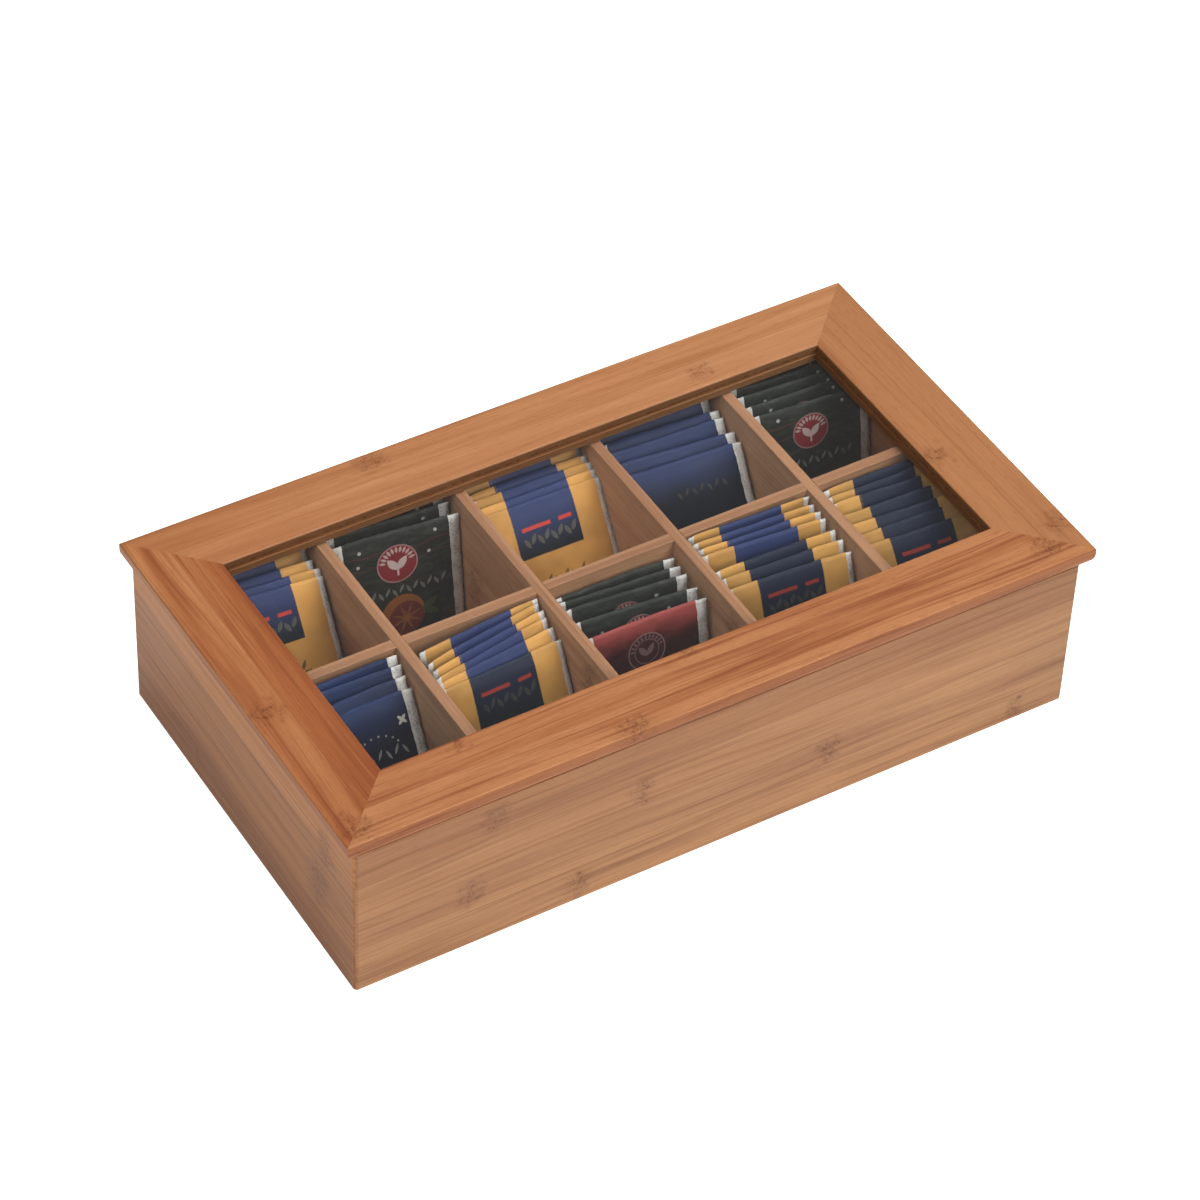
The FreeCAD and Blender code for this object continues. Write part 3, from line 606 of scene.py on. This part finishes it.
def print_start(name):
    """A paper material with the place on the envelope in mm, nudged a little on each envelope."""
    material, tree, shader = new_material(name)
    place = node(tree, "ShaderNodeAttribute", attribute_name="print_place").outputs["Vector"]
    number = split(tree, place)[2]
    chance = node(tree, "ShaderNodeTexWhiteNoise", {"W": number}, noise_dimensions="1D").outputs["Color"]
    nudge = vector_maths(tree, "SUBTRACT", chance, (0.5, 0.5, 0.5))
    nudge = vector_maths(tree, "MULTIPLY", nudge, (1.6, 1.8, 0.0))
    flat = stretched(tree, vector_maths(tree, "ADD", place, nudge), (1, 1, 0))
    return material, tree, shader, place, flat


def patch(tree, flat, centre, reach):
    given = {"Place": flat, "Centre": (*centre, 0), "Reach": (*reach, 0)}
    return use_group(tree, PRINT_PATCH, given)["Mask"]


def disc(tree, flat, centre, radius):
    given = {"Place": flat, "Centre": (*centre, 0), "Radius": radius}
    return use_group(tree, PRINT_DISC, given)["Mask"]


def leaf(tree, flat, centre, turn, length, width):
    given = {"Place": flat, "Centre": (*centre, 0), "Turn": math.radians(turn)}
    given |= {"Length": length, "Width": width}
    return use_group(tree, PRINT_LEAF, given)["Mask"]


def inked(tree, colour, mask, ink, strength=1.0):
    """Prints one ink over the colour below it."""
    return stamp(tree, colour, weaker(tree, mask, strength), (*ink, 1))


def print_end(tree, shader, place, colour, half_width, seal_width):
    """Adds what every envelope has: white seals down the sides, creases and a soft sheen."""
    given = {"Place": place, "Half Width": half_width, "Seal Width": seal_width}
    paper = use_group(tree, PAPER_CREASE, given)
    finish = {"Base Color": stamp(tree, colour, paper["Seal"], paper["Seal Tone"])}
    finish |= {"Normal": bump(tree, paper["Crease"], 0.35, 0.001), "Specular IOR Level": 0.22}
    finish["Roughness"] = between(tree, paper["Crease"], 0.0, 0.3, 0.52, 0.42)
    set_shader(tree, shader, finish)


def leaf_row(tree, flat, colour, start, step, count, length, width, ink, strength):
    """A row of little printed leaves leaning left and right by turns."""
    x, y = start
    for number in range(count):
        turn = 62 if number % 2 else 116
        spot = (x + step * number, y + 0.25 * length * (number % 2))
        colour = inked(tree, colour, leaf(tree, flat, spot, turn, length, width), ink, strength)
    return colour


def ochre_blue_print(name, blue_top, blue_foot_painted_shade, ochre, red, dash_height, leaf_strength):
    material, tree, shader, place, flat = print_start(name)
    up = split(tree, flat)[1]
    cloud = mottle(tree, stretched(tree, place, (1, 1, 23)), 0.05, 2.0)
    darker_ochre = tuple(0.74 * part for part in ochre)
    colour = stamp(tree, (*ochre, 1), between(tree, cloud, 0.35, 0.7), (*darker_ochre, 1))
    # the blue goes darker towards the foot: painted shade low in the compartment
    blue = stamp(tree, (*blue_foot_painted_shade, 1), between(tree, up, 50.0, 71.0), (*blue_top, 1))
    colour = stamp(tree, colour, patch(tree, flat, (0, 66.0), (15.4, 15.0)), blue)
    for middle, reach in ((-4.8, 7.0), (9.4, 3.2)):
        colour = inked(tree, colour, patch(tree, flat, (middle, dash_height), (reach, 0.85)), red)
    dull_gold = (0.14, 0.13, 0.095)
    gold_start = (-10.6, dash_height - 6.2)
    colour = leaf_row(tree, flat, colour, gold_start, 3.3, 8, 5.3, 2.1, dull_gold, leaf_strength)
    tea_brown = (0.06, 0.035, 0.012)
    colour = leaf_row(tree, flat, colour, (-9.0, 37.6), 4.1, 6, 6.0, 1.7, tea_brown, 0.75)
    stem = patch(tree, flat, (1.6, 36.6), (13.0, 0.32))
    colour = inked(tree, colour, stem, tea_brown, 0.75)
    print_end(tree, shader, place, colour, TALL[0] / 2, NARROW_SEAL)
    return material


def petal_ring(tree, flat, colour, centre, ring, ink, strength):
    """Eleven petals round the top of a badge; ring is its radius, then a petal's length and width."""
    radius, length, width = ring
    for number in range(11):
        turn = 14 + 15.2 * number
        angle = math.radians(turn)
        spot = (centre[0] + radius * math.cos(angle), centre[1] + radius * math.sin(angle))
        colour = inked(tree, colour, leaf(tree, flat, spot, turn, length, width), ink, strength)
    return colour


def add_badge(tree, flat, colour, centre, radius, red, cream, rim):
    """A round badge: a pale rim, a ring of petals over the top and two leaves on a stalk."""
    x, y = centre
    colour = inked(tree, colour, disc(tree, flat, centre, radius), rim)
    colour = inked(tree, colour, disc(tree, flat, centre, radius * 0.93), red)
    ring = (0.74 * radius, 0.34 * radius, 0.13 * radius)
    colour = petal_ring(tree, flat, colour, centre, ring, cream, 0.85)
    for side in (-1, 1):
        spot = (x + 0.22 * side * radius, y - 0.02 * radius)
        blade = leaf(tree, flat, spot, 90 - 38 * side, radius * 0.82, radius * 0.38)
        colour = inked(tree, colour, blade, cream)
    stalk = patch(tree, flat, (x, y - 0.44 * radius), (0.05 * radius, 0.20 * radius))
    return inked(tree, colour, stalk, cream)


def dark_green_print(name, badge_centre, badge_radius, dots, fruit=None):
    material, tree, shader, place, flat = print_start(name)
    cloud = mottle(tree, stretched(tree, place, (1, 2.5, 23)), 0.09, 4.0, 0.7, 0.5)
    rubbed = between(tree, cloud, 0.42, 0.75)
    dark_green = (0.0140, 0.017, 0.0130, 1)
    worn_green = (0.042, 0.045, 0.038)
    colour = inked(tree, dark_green, rubbed, worn_green)
    bend = mottle(tree, stretched(tree, flat, (0.05, 0.0, 0.0)), 1.0, 1.0)
    up = split(tree, flat)[1]
    sway = maths(tree, "MULTIPLY_ADD", bend, 16.0, -8.0)
    vine_red = (0.10, 0.028, 0.026)
    pale_grey = (0.42, 0.42, 0.40)
    grey_ink = (0.20, 0.21, 0.195)
    for level, strength in ((62.0, 0.6), (55.5, 0.4)):
        off_line = maths(tree, "SUBTRACT", up, maths(tree, "ADD", sway, level))
        line = between(tree, maths(tree, "ABSOLUTE", off_line), 0.6, 0.2)
        colour = inked(tree, colour, line, vine_red, strength)
    for spot in dots:
        colour = inked(tree, colour, disc(tree, flat, spot, 0.8), pale_grey)
    colour = leaf_row(tree, flat, colour, (-17.0, 39.6), 3.3, 12, 4.8, 1.5, grey_ink, 0.75)
    if fruit:
        x, y = fruit
        core = (x + 1.5, y - 2.0)
        peel = (0.29, 0.105, 0.026)
        flesh = (0.150, 0.026, 0.020)
        pith = (0.32, 0.13, 0.034)
        leaf_green = (0.045, 0.085, 0.026)
        colour = inked(tree, colour, disc(tree, flat, fruit, 10.5), peel)
        colour = inked(tree, colour, disc(tree, flat, core, 8.4), flesh)
        for turn in (20, 65, 110, 155):
            colour = inked(tree, colour, leaf(tree, flat, core, turn, 15.5, 1.8), pith, 0.6)
        for side in (-1, 1):
            blade = leaf(tree, flat, (x + 13.0, y + 2.0 * side), 28.0 * side, 9.0, 3.6)
            colour = inked(tree, colour, blade, leaf_green, 0.8)
    red = (0.215, 0.020, 0.026)
    cream = (0.52, 0.42, 0.40)
    rim = (0.33, 0.19, 0.19)
    colour = add_badge(tree, flat, colour, badge_centre, badge_radius, red, cream, rim)
    print_end(tree, shader, place, colour, SHORT[0] / 2, WIDE_SEAL)
    return material


def maroon_print(name):
    material, tree, shader, place, flat = print_start(name)
    cloud = mottle(tree, stretched(tree, place, (1, 2, 23)), 0.08, 3.0, 0.6)
    up = split(tree, flat)[1]
    level = maths(tree, "MULTIPLY_ADD", cloud, 18.0, up)
    maroon = (0.040, 0.0068, 0.0065, 1)
    bright_red = (0.325, 0.058, 0.053)
    colour = inked(tree, maroon, between(tree, level, 62.0, 80.0), bright_red)
    pale = (0.30, 0.20, 0.19)
    dark = (0.062, 0.012, 0.014)
    centre = (-0.5, 54.0)
    rings = ((9.0, 0.85, pale), (8.4, 1.0, dark), (6.0, 0.6, pale), (5.5, 1.0, dark))
    for radius, strength, ink in rings:
        colour = inked(tree, colour, disc(tree, flat, centre, radius), ink, strength)
    colour = petal_ring(tree, flat, colour, centre, (7.1, 2.3, 1.0), pale, 0.6)
    for side in (-1, 1):
        blade = leaf(tree, flat, (centre[0] + 1.8 * side, centre[1] + 0.4), 90 - 35 * side, 6.4, 2.8)
        colour = inked(tree, colour, blade, pale, 0.7)
    print_end(tree, shader, place, colour, SHORT[0] / 2, WIDE_SEAL)
    return material


def royal_blue_print(name):
    material, tree, shader, place, flat = print_start(name)
    parts = split(tree, flat)
    slope = maths(tree, "MULTIPLY_ADD", parts[0], -0.45, parts[1])
    cloud = mottle(tree, stretched(tree, place, (1, 1, 23)), 0.05, 3.0)
    slope = maths(tree, "MULTIPLY_ADD", cloud, 16.0, slope)
    dark_blue = (0.0024, 0.0040, 0.016, 1)
    royal_blue = (0.0040, 0.025, 0.118)
    colour = inked(tree, dark_blue, between(tree, slope, 55.0, 94.0), royal_blue)
    cream = (0.46, 0.46, 0.40)
    for step in range(4):
        angle = math.radians(45 + 90 * step)
        spot = (21.0 + 1.2 * math.cos(angle), 64.4 + 1.2 * math.sin(angle))
        colour = inked(tree, colour, leaf(tree, flat, spot, 45 + 90 * step, 3.0, 1.4), cream)
    for step in range(8):
        angle = math.radians(158 - 19 * step)
        spot = (7.5 + 10.5 * math.cos(angle), 53.0 + 8.0 * math.sin(angle))
        colour = inked(tree, colour, disc(tree, flat, spot, 0.5), cream, 0.5)
    colour = leaf_row(tree, flat, colour, (-4.0, 52.0), 3.9, 7, 5.0, 1.2, cream, 0.42)
    print_end(tree, shader, place, colour, TALL[0] / 2, ROYAL_SEAL)
    return material


def navy_print(name):
    material, tree, shader, place, flat = print_start(name)
    up = split(tree, flat)[1]
    cloud = mottle(tree, stretched(tree, place, (1, 1, 23)), 0.05, 3.0)
    level = maths(tree, "MULTIPLY_ADD", cloud, 14.0, up)
    navy = (0.0050, 0.0080, 0.017, 1)
    clear_blue = (0.015, 0.030, 0.105)
    colour = inked(tree, navy, between(tree, level, 62.0, 84.0), clear_blue)
    gold = (0.10, 0.085, 0.045)
    colour = leaf_row(tree, flat, colour, (-4.0, 60.0), 3.7, 7, 4.2, 1.3, gold, 0.42)
    print_end(tree, shader, place, colour, TALL[0] / 2, NAVY_SEAL)
    return material


def plain_back(name, tint):
    """The back of an envelope: the same paper, one tint, with the glued seam down its middle."""
    material, tree, shader, place, flat = print_start(name)
    darker = tuple(0.7 * part for part in tint)
    seam = patch(tree, flat, (2.0, 40.0), (0.35, 60.0))
    colour = inked(tree, (*tint, 1), seam, darker, 0.6)
    print_end(tree, shader, place, colour, TALL[0] / 2, BACK_SEAL)
    return material


def rounded(share):
    """Rises steeply from 0 and levels off at 1."""
    return math.sin(min(1.0, share) * math.pi / 2)


def envelope_depths(across, up, width, height, seed):
    """Front and back face of the pocket at one spot, in mm out from the middle plane."""
    side = rounded((width / 2 - abs(across)) / PILLOW_SIDE)
    foot = rounded(up / PILLOW_END)
    head = rounded((height - up) / PILLOW_END)
    pillow = side ** 0.8 * foot ** 0.6
    pillow *= HEAD_FILLING + (1 - HEAD_FILLING) * head
    spot = Vector((across * 0.06, up * 0.05, seed))
    crumple = noise.noise(spot) * BROAD_CRUMPLE + noise.noise(spot * 2.7) * FINE_CRUMPLE
    ridge = (1 - abs(noise.noise(spot * 1.3 + Vector((7, 3, 1)))) * 2.2) * RIDGE_HEIGHT
    front = FRONT_PAPER + pillow * (FRONT_FILLING + crumple + ridge)
    back = BACK_PAPER + pillow * (BACK_FILLING + 0.5 * crumple)
    return front, back


def wave(place, pace, phase, height):
    return math.sin(place * pace + phase) * height


def envelope_rows(size, seal, seed):
    """The spots of one pocket's paper, row by row from its foot, and how far it rolls."""
    width, height = size
    chance = random.Random(seed)
    phase = [chance.uniform(0, 2 * math.pi) for _ in range(6)]
    bow = chance.uniform(-0.35, 0.25)
    curl = [chance.uniform(-0.3, 0.9), chance.uniform(-0.2, 1.1)]
    roll = math.radians(chance.uniform(-0.3, 0.3))
    rows = []
    for step_up in range(UP_STEPS + 1):
        row = []
        share_up = step_up / UP_STEPS
        for step_across in range(ACROSS_STEPS + 1):
            share = 2 * step_across / ACROSS_STEPS - 1
            across = math.copysign(abs(share) ** 0.84, share) * width / 2
            up = height * (1 - (1 - share_up) ** 1.14)
            front, back = envelope_depths(across, up, width, height, seed * 0.37)
            past_seal_line = abs(across) - width / 2 + seal
            in_seal = max(0.0, min(1.0, (past_seal_line + SEAL_BLEND / 2) / SEAL_BLEND))
            ripple = wave(up, 1.7, phase[0], 0.08) + wave(up, 0.6, phase[1], 0.16)
            top_wave = wave(across, 0.11, phase[2], 0.18) + wave(across, 0.37, phase[3], 0.07)
            edge_wave = wave(up, 0.9, phase[4], 0.14) + wave(up, 2.6, phase[5], 0.07)
            moved_across = across - math.copysign(in_seal * (EDGE_PULL + edge_wave), across)
            moved_up = up - share_up * (EDGE_PULL + top_wave) - in_seal * share_up ** 8 * CORNER_PULL
            bent = curl[0 if across < 0 else 1] * abs(share) ** 4 * share_up ** 3
            middle = THICKNESS * MIDDLE_SHARE + bow * math.sin(share_up * math.pi)
            middle = middle + in_seal * ripple + bent
            turned_across = moved_across * math.cos(roll) + moved_up * math.sin(roll)
            turned_up = moved_up * math.cos(roll) - moved_across * math.sin(roll)
            row.append((across, up, turned_across, turned_up, middle, front, back))
        rows.append(row)
    return rows, roll


def add_envelope(mesh, seed, size, seal, foot_place, lean, turn, print_layer, number, slots):
    """One pocket: its foot is square to the box, it leans back and its head is turned a little."""
    front_slot, back_slot = slots
    width, height = size
    rows, roll = envelope_rows(size, seal, seed)
    foot = Vector((*foot_place, FLOOR_TOP + width / 2 * abs(math.sin(roll)) + FOOT_GAP))

    def corner(entry, face):
        across, up, turned_across, turned_up, middle, front, back = entry
        depth = middle + front if face > 0 else middle - back
        angle = turn * up / height
        side_way = Vector((math.cos(angle), math.sin(angle), 0))
        front_way = Vector((math.sin(angle), -math.cos(angle), 0))
        spine = Vector((0, math.sin(lean), math.cos(lean))) * turned_up
        point = foot + spine + side_way * turned_across
        point += (front_way * math.cos(lean) + Vector((0, 0, math.sin(lean)))) * depth
        made = mesh.verts.new(point * MM)
        made[print_layer] = Vector((across, up, number))
        return made

    fronts = [[corner(entry, 1) for entry in row] for row in rows]
    backs = [[corner(entry, -1) for entry in row] for row in rows]

    def panel(a, b, c, d, slot):
        face = mesh.faces.new((a, b, c, d))
        face.material_index = slot
        face.smooth = True
        return face

    for lower, upper in zip(fronts, fronts[1:]):
        for c in range(ACROSS_STEPS):
            panel(lower[c], lower[c + 1], upper[c + 1], upper[c], front_slot)
    for lower, upper in zip(backs, backs[1:]):
        for c in range(ACROSS_STEPS):
            panel(lower[c], upper[c], upper[c + 1], lower[c + 1], back_slot)
    for r in range(UP_STEPS):
        panel(fronts[r][0], fronts[r + 1][0], backs[r + 1][0], backs[r][0], front_slot)
        panel(fronts[r][-1], backs[r][-1], backs[r + 1][-1], fronts[r + 1][-1], front_slot)
    for c in range(ACROSS_STEPS):
        panel(fronts[0][c], backs[0][c], backs[0][c + 1], fronts[0][c + 1], front_slot)
        panel(fronts[-1][c], fronts[-1][c + 1], backs[-1][c + 1], backs[-1][c], front_slot)


BLUE_BACK = plain_back("paper_back_navy", (0.030, 0.034, 0.060))
GREEN_BACK = plain_back("paper_back_green", (0.016, 0.021, 0.019))
ROYAL_BACK = plain_back("paper_back_royal", (0.018, 0.032, 0.11))
bright_print = ochre_blue_print(
    "print_ochre_blue",
    blue_top=(0.021, 0.037, 0.130),
    blue_foot_painted_shade=(0.0040, 0.0070, 0.011),
    ochre=(0.68, 0.345, 0.085),
    red=(0.56, 0.050, 0.034),
    dash_height=63.8,
    leaf_strength=0.62,
)
deep_print = ochre_blue_print(
    "print_ochre_navy",
    blue_top=(0.0048, 0.0115, 0.037),
    blue_foot_painted_shade=(0.0030, 0.0080, 0.012),
    ochre=(0.60, 0.315, 0.076),
    red=(0.33, 0.036, 0.024),
    dash_height=66.8,
    leaf_strength=0.25,
)
fruit_dots = ((-18.2, 64.5), (-19.5, 57.8), (17.3, 66.0), (13.6, 56.2), (-20.5, 50.5))
fruit_print = dark_green_print("print_green_fruit", (-1.4, 54.2), 9.6, fruit_dots, fruit=(-1.0, 27.0))
herb_print = dark_green_print("print_green_herb", (0.2, 55.6), 8.9, ((-15.5, 65.4), (16.5, 66.5)))
leaf_print = dark_green_print("print_green_leaf", (0.9, 57.4), 8.2, ((-16.4, 62.6), (15.0, 64.5)))
red_print = maroon_print("print_maroon")
sky_print = royal_blue_print("print_royal_blue")
night_print = navy_print("print_navy")

# each envelope, from the rear: y of its top edge in mm, then the turn of its head in degrees
FILLS = {
    "back_1": ((83.5, -0.5), (77.5, -3.0), (71.4, -4.0), (67.2, -5.0), (63.2, -4.2)),
    "back_2": ((84.5, -0.5), (79.3, -3.0), (74.0, -4.5), (66.9, -5.5)),
    "back_3": ((83.5, -0.5), (77.8, -1.0), (72.3, -0.7), (68.8, -1.5), (64.3, -0.6), (61.0, -1.5)),
    "back_4": ((84.0, -0.5), (78.0, -2.5), (70.9, -3.2), (65.9, -3.1), (58.2, -5.5), (51.7, -4.6)),
    "back_5": ((84.0, -0.5), (78.4, -3.0), (72.8, -4.0), (67.1, -4.3), (60.5, -3.2), (52.8, -6.0)),
    "front_1": ((-4.4, 0.0), (-7.4, -0.8), (-13.0, 2.4), (-16.0, 0.6)),
    "front_2": ((-5.9, 5.6), (-9.9, 9.5), (-13.6, 10.5), (-16.9, 10.0), (-20.1, 7.5), (-24.3, 3.2)),
    "front_3": ((-4.2, -1.2), (-8.6, -4.0), (-13.4, -5.0), (-22.0, -5.5), (-30.6, -1.6)),
    "front_4": (
        (-4.4, -1.8), (-9.0, -3.0), (-13.2, -3.3), (-17.0, -4.0),
        (-25.8, -2.2), (-31.0, -3.0), (-37.1, -4.0),
    ),
    "front_5": (
        (-4.2, -1.6), (-8.4, -1.5), (-12.4, -3.4), (-19.0, -2.7),
        (-25.0, -3.6), (-29.8, -2.0), (-35.9, -3.8),
    ),
}


def fill_compartment(name, size, seal, shift, leans, front, back, slot, last_ones=()):
    """Stands a row of envelopes up; leans are in degrees, last_ones the prints of the front few."""
    rear_lean, front_lean = leans
    column = int(name[-1]) - 1
    middle_x = (column - 2) * COLUMN_PITCH + shift
    mesh = bmesh.new()
    print_layer = mesh.verts.layers.float_vector.new("print_place")
    chance = random.Random(name)
    row = FILLS[name]
    for number, (top, turn) in enumerate(row):
        share = number / (len(row) - 1)
        lean = math.radians(rear_lean + share * (front_lean - rear_lean))
        foot_place = (middle_x + chance.uniform(-0.3, 0.3), top - size[1] * math.sin(lean))
        seed = 100 * column + 17 * number + (3 if name.startswith("front") else 0)
        slots = (0 if number < len(row) - len(last_ones) else 2, 1)
        turned = math.radians(turn)
        add_envelope(mesh, seed, size, seal, foot_place, lean, turned, print_layer, number + 1.0, slots)
    data = bpy.data.meshes.new("envelopes_" + name)
    mesh.to_mesh(data)
    mesh.free()
    for finish in (front, back) + last_ones[:1]:
        data.materials.append(finish)
    piece = bpy.data.objects.new("envelopes_" + name, data)
    bpy.context.scene.collection.objects.link(piece)
    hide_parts("sachets_" + name)
    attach(piece, "box")


blues = (bright_print, BLUE_BACK, "sachet_blue")
deep_blues = (deep_print, BLUE_BACK, "sachet_blue")
royals = (ROYAL_BACK, "sachet_royal")
greens = (GREEN_BACK, "sachet_green")
fill_compartment("back_1", TALL, NARROW_SEAL, 0.0, (24.0, 31.0), *blues)
fill_compartment("back_2", SHORT, WIDE_SEAL, 0.5, (5.0, 9.8), fruit_print, *greens)
fill_compartment("back_3", TALL, NARROW_SEAL, 1.0, (24.0, 34.0), *blues)
fill_compartment("back_4", TALL, NAVY_SEAL, 0.0, (24.0, 33.0), night_print, *royals)
fill_compartment("back_5", SHORT, WIDE_SEAL, 0.0, (6.0, 11.0), herb_print, *greens)
fill_compartment("front_1", TALL, ROYAL_SEAL, 0.0, (12.0, 31.0), sky_print, *royals)
fill_compartment("front_2", TALL, NARROW_SEAL, 0.0, (10.0, 28.5), *blues, (deep_print,))
fill_compartment("front_3", SHORT, WIDE_SEAL, -1.0, (5.0, 12.0), leaf_print, *greens, (red_print,))
fill_compartment("front_4", TALL, NARROW_SEAL, -1.0, (3.0, 20.0), *blues, 3 * (deep_print,))
fill_compartment("front_5", TALL, NARROW_SEAL, 0.0, (16.0, 33.0), *deep_blues)


# --------------------------------------------
# Lid frame. Four rails of caramel bamboo, mitred and glued at the corners, each two slats wide,
# with a satin lacquer that deepens the colour on the upper face. The side faces are toned as
# well: the outer ones partly by their own duller tone and partly by painted light and shade,
# the faces round the window by painted shade.
# --------------------------------------------
RAIL_SLAT = 16.2
LID_TOP = 89.5
GROOVE_DASH_DEPTH = 3.1
GROOVE_DASH_BROWN = (0.075, 0.024, 0.008, 1)
LID_LACQUER = 0.16
LID_FRONT_TONES = ((0.445, 0.184, 0.069), (0.345, 0.117, 0.035), (0.210, 0.050, 0.011))
LID_LEFT_TONES = ((0.440, 0.174, 0.062), (0.345, 0.110, 0.031), (0.225, 0.054, 0.011))
LID_BACK_TONES = ((0.530, 0.250, 0.110), (0.438, 0.183, 0.073), (0.285, 0.100, 0.033))
LID_RIGHT_TONES = ((0.398, 0.166, 0.063), (0.325, 0.124, 0.042), (0.220, 0.069, 0.019))
# outer faces: partly their own duller tone, partly painted shade; the pale left edge partly painted light
LID_OUTER_EDGE_TONE_AND_SHADE = (0.84, 0.77, 0.62)
LID_PALE_EDGE_TONE_AND_LIGHT = (0.98, 1.07, 0.96)
# painted shade: the faces round the window are darkened to look shaded, the back rail's most
LID_WINDOW_EDGE_PAINTED_SHADE = (0.66, 0.72, 0.68)
LID_BACK_WINDOW_EDGE_PAINTED_SHADE = (0.52, 0.57, 0.56)
LID_FRONT_LAYOUT = ("x", "y", "z", LID_TOP, -101.5)
LID_BACK_LAYOUT = ("x", "y", "z", LID_TOP, 67.0)
LID_LEFT_LAYOUT = ("y", "x", "z", LID_TOP, -180.0)
LID_RIGHT_LAYOUT = ("y", "x", "z", LID_TOP, 147.5)
LID_FRONT_KNUCKLES = ((-172, 8, 8, 8), (-114, 29, 5, 4), (-46, 3, 11, 6), (-6, 31, 5, 4), (163, 12, 9, 8))
LID_LEFT_KNUCKLES = ((-19, 8.1, 9, 8.4), (-91, 9, 8, 8.4))
LID_BACK_KNUCKLES = ((-63, 27, 11, 7), (92, 9, 6, 6))
LID_RIGHT_KNUCKLES = ((-19, 7, 8, 7), (-80, 26, 9, 7))


def lid_rail(
    side, outward, seed, tones, layout, streaks, contrast, knuckles,
    shades=(), painted_light_fades=(), edge=LID_OUTER_EDGE_TONE_AND_SHADE, window_edge_painted_shade=LID_WINDOW_EDGE_PAINTED_SHADE,
):
    """A rail's outer faces keep a duller tone of their own plus painted light and shade, its window
    faces get painted shade; dark dashes run along its groove for the glass.
    """
    material = bamboo(
        "bamboo_lid_" + side, seed, tones, layout, RAIL_SLAT, streaks, contrast, knuckles,
        LID_LACQUER, shades, painted_light_fades,
    )
    tree = material.node_tree
    shader = tree.nodes["Principled BSDF"]
    colour = shader.inputs["Base Color"].links[0].from_socket
    outer = side_mask(tree, outward)
    inner = side_mask(tree, tuple(-part for part in outward))
    # the outer faces get their own tone plus painted light and shade, the window faces painted shade
    colour = toned(tree, toned(tree, colour, outer, edge), inner, window_edge_painted_shade)
    place = board_place(tree, *layout)
    # dark dashes along the line of the glass groove on the window faces
    depth = maths(tree, "SUBTRACT", split(tree, place)[2], GROOVE_DASH_DEPTH)
    groove_dashes = mottle(tree, stretched(tree, place, (0.34, 0.0, 0.9)), detail=2.0, rough=0.6)
    near_groove = between(tree, maths(tree, "ABSOLUTE", depth), 0.6, 0.25)
    groove_dashes = maths(tree, "MULTIPLY", between(tree, groove_dashes, 0.47, 0.56), near_groove)
    groove_dashes = maths(tree, "MULTIPLY", groove_dashes, weaker(tree, inner, 0.7))
    colour = stamp(tree, colour, groove_dashes, GROOVE_DASH_BROWN)
    bare_outside = maths(tree, "MULTIPLY_ADD", outer, -LID_LACQUER, LID_LACQUER)
    set_shader(tree, shader, {"Base Color": colour, "Coat Weight": bare_outside})
    finish_node(f"lid_{side}_rail", material)


lid_rail(
    "front", (0, -1, 0), 21.0, LID_FRONT_TONES, LID_FRONT_LAYOUT, 0.9, 0.3, LID_FRONT_KNUCKLES
)
lid_rail(
    "back", (0, 1, 0), 23.0, LID_BACK_TONES, LID_BACK_LAYOUT, 0.3, 0.2, LID_BACK_KNUCKLES,
    shades=((RAIL_SLAT, 2 * RAIL_SLAT + 1, (0.90, 0.84, 0.76)),),
    # painted shade at the left end of the back rail, painted light at its right end
    painted_light_fades=((-60, -170, (0.93, 0.86, 0.79)), (40, 150, (1.07, 1.13, 1.20))),
    window_edge_painted_shade=LID_BACK_WINDOW_EDGE_PAINTED_SHADE,
)
lid_rail(
    "left", (-1, 0, 0), 26.0, LID_LEFT_TONES, LID_LEFT_LAYOUT, 0.8, 0.3, LID_LEFT_KNUCKLES,
    shades=((RAIL_SLAT, 2 * RAIL_SLAT + 1, (0.96, 0.90, 0.84)),),
    # painted shade at the front end of the left rail, painted light at its back end
    painted_light_fades=((-20, -95, (0.90, 0.81, 0.72)), (20, 95, (1.08, 1.15, 1.20))), edge=LID_PALE_EDGE_TONE_AND_LIGHT,
)
lid_rail(
    "right", (1, 0, 0), 29.0, LID_RIGHT_TONES, LID_RIGHT_LAYOUT, 0.3, 0.3, LID_RIGHT_KNUCKLES
)


# --------------------------------------------
# Window. A 2 mm pane of clear float glass, slid into a groove in the rails before the last
# mitre is glued. It lets lamp light straight through to the envelopes.
# --------------------------------------------
GLASS_TINT = (0.985, 0.995, 0.99, 1)
GLASS_SHADE = 0.05


def float_glass():
    material, tree, shader = new_material("float_glass")
    finish = {"Base Color": GLASS_TINT, "Roughness": 0.0, "IOR": 1.45, "Transmission Weight": 1.0}
    ray = node(tree, "ShaderNodeLightPath").outputs
    looked_through = maths(tree, "MAXIMUM", ray["Is Camera Ray"], ray["Is Transmission Ray"])
    looked_through = maths(tree, "MAXIMUM", looked_through, ray["Is Singular Ray"])
    finish["Alpha"] = maths(tree, "MULTIPLY_ADD", looked_through, 1.0 - GLASS_SHADE, GLASS_SHADE)
    set_shader(tree, shader, finish)
    return material


finish_node("glass_pane", float_glass())
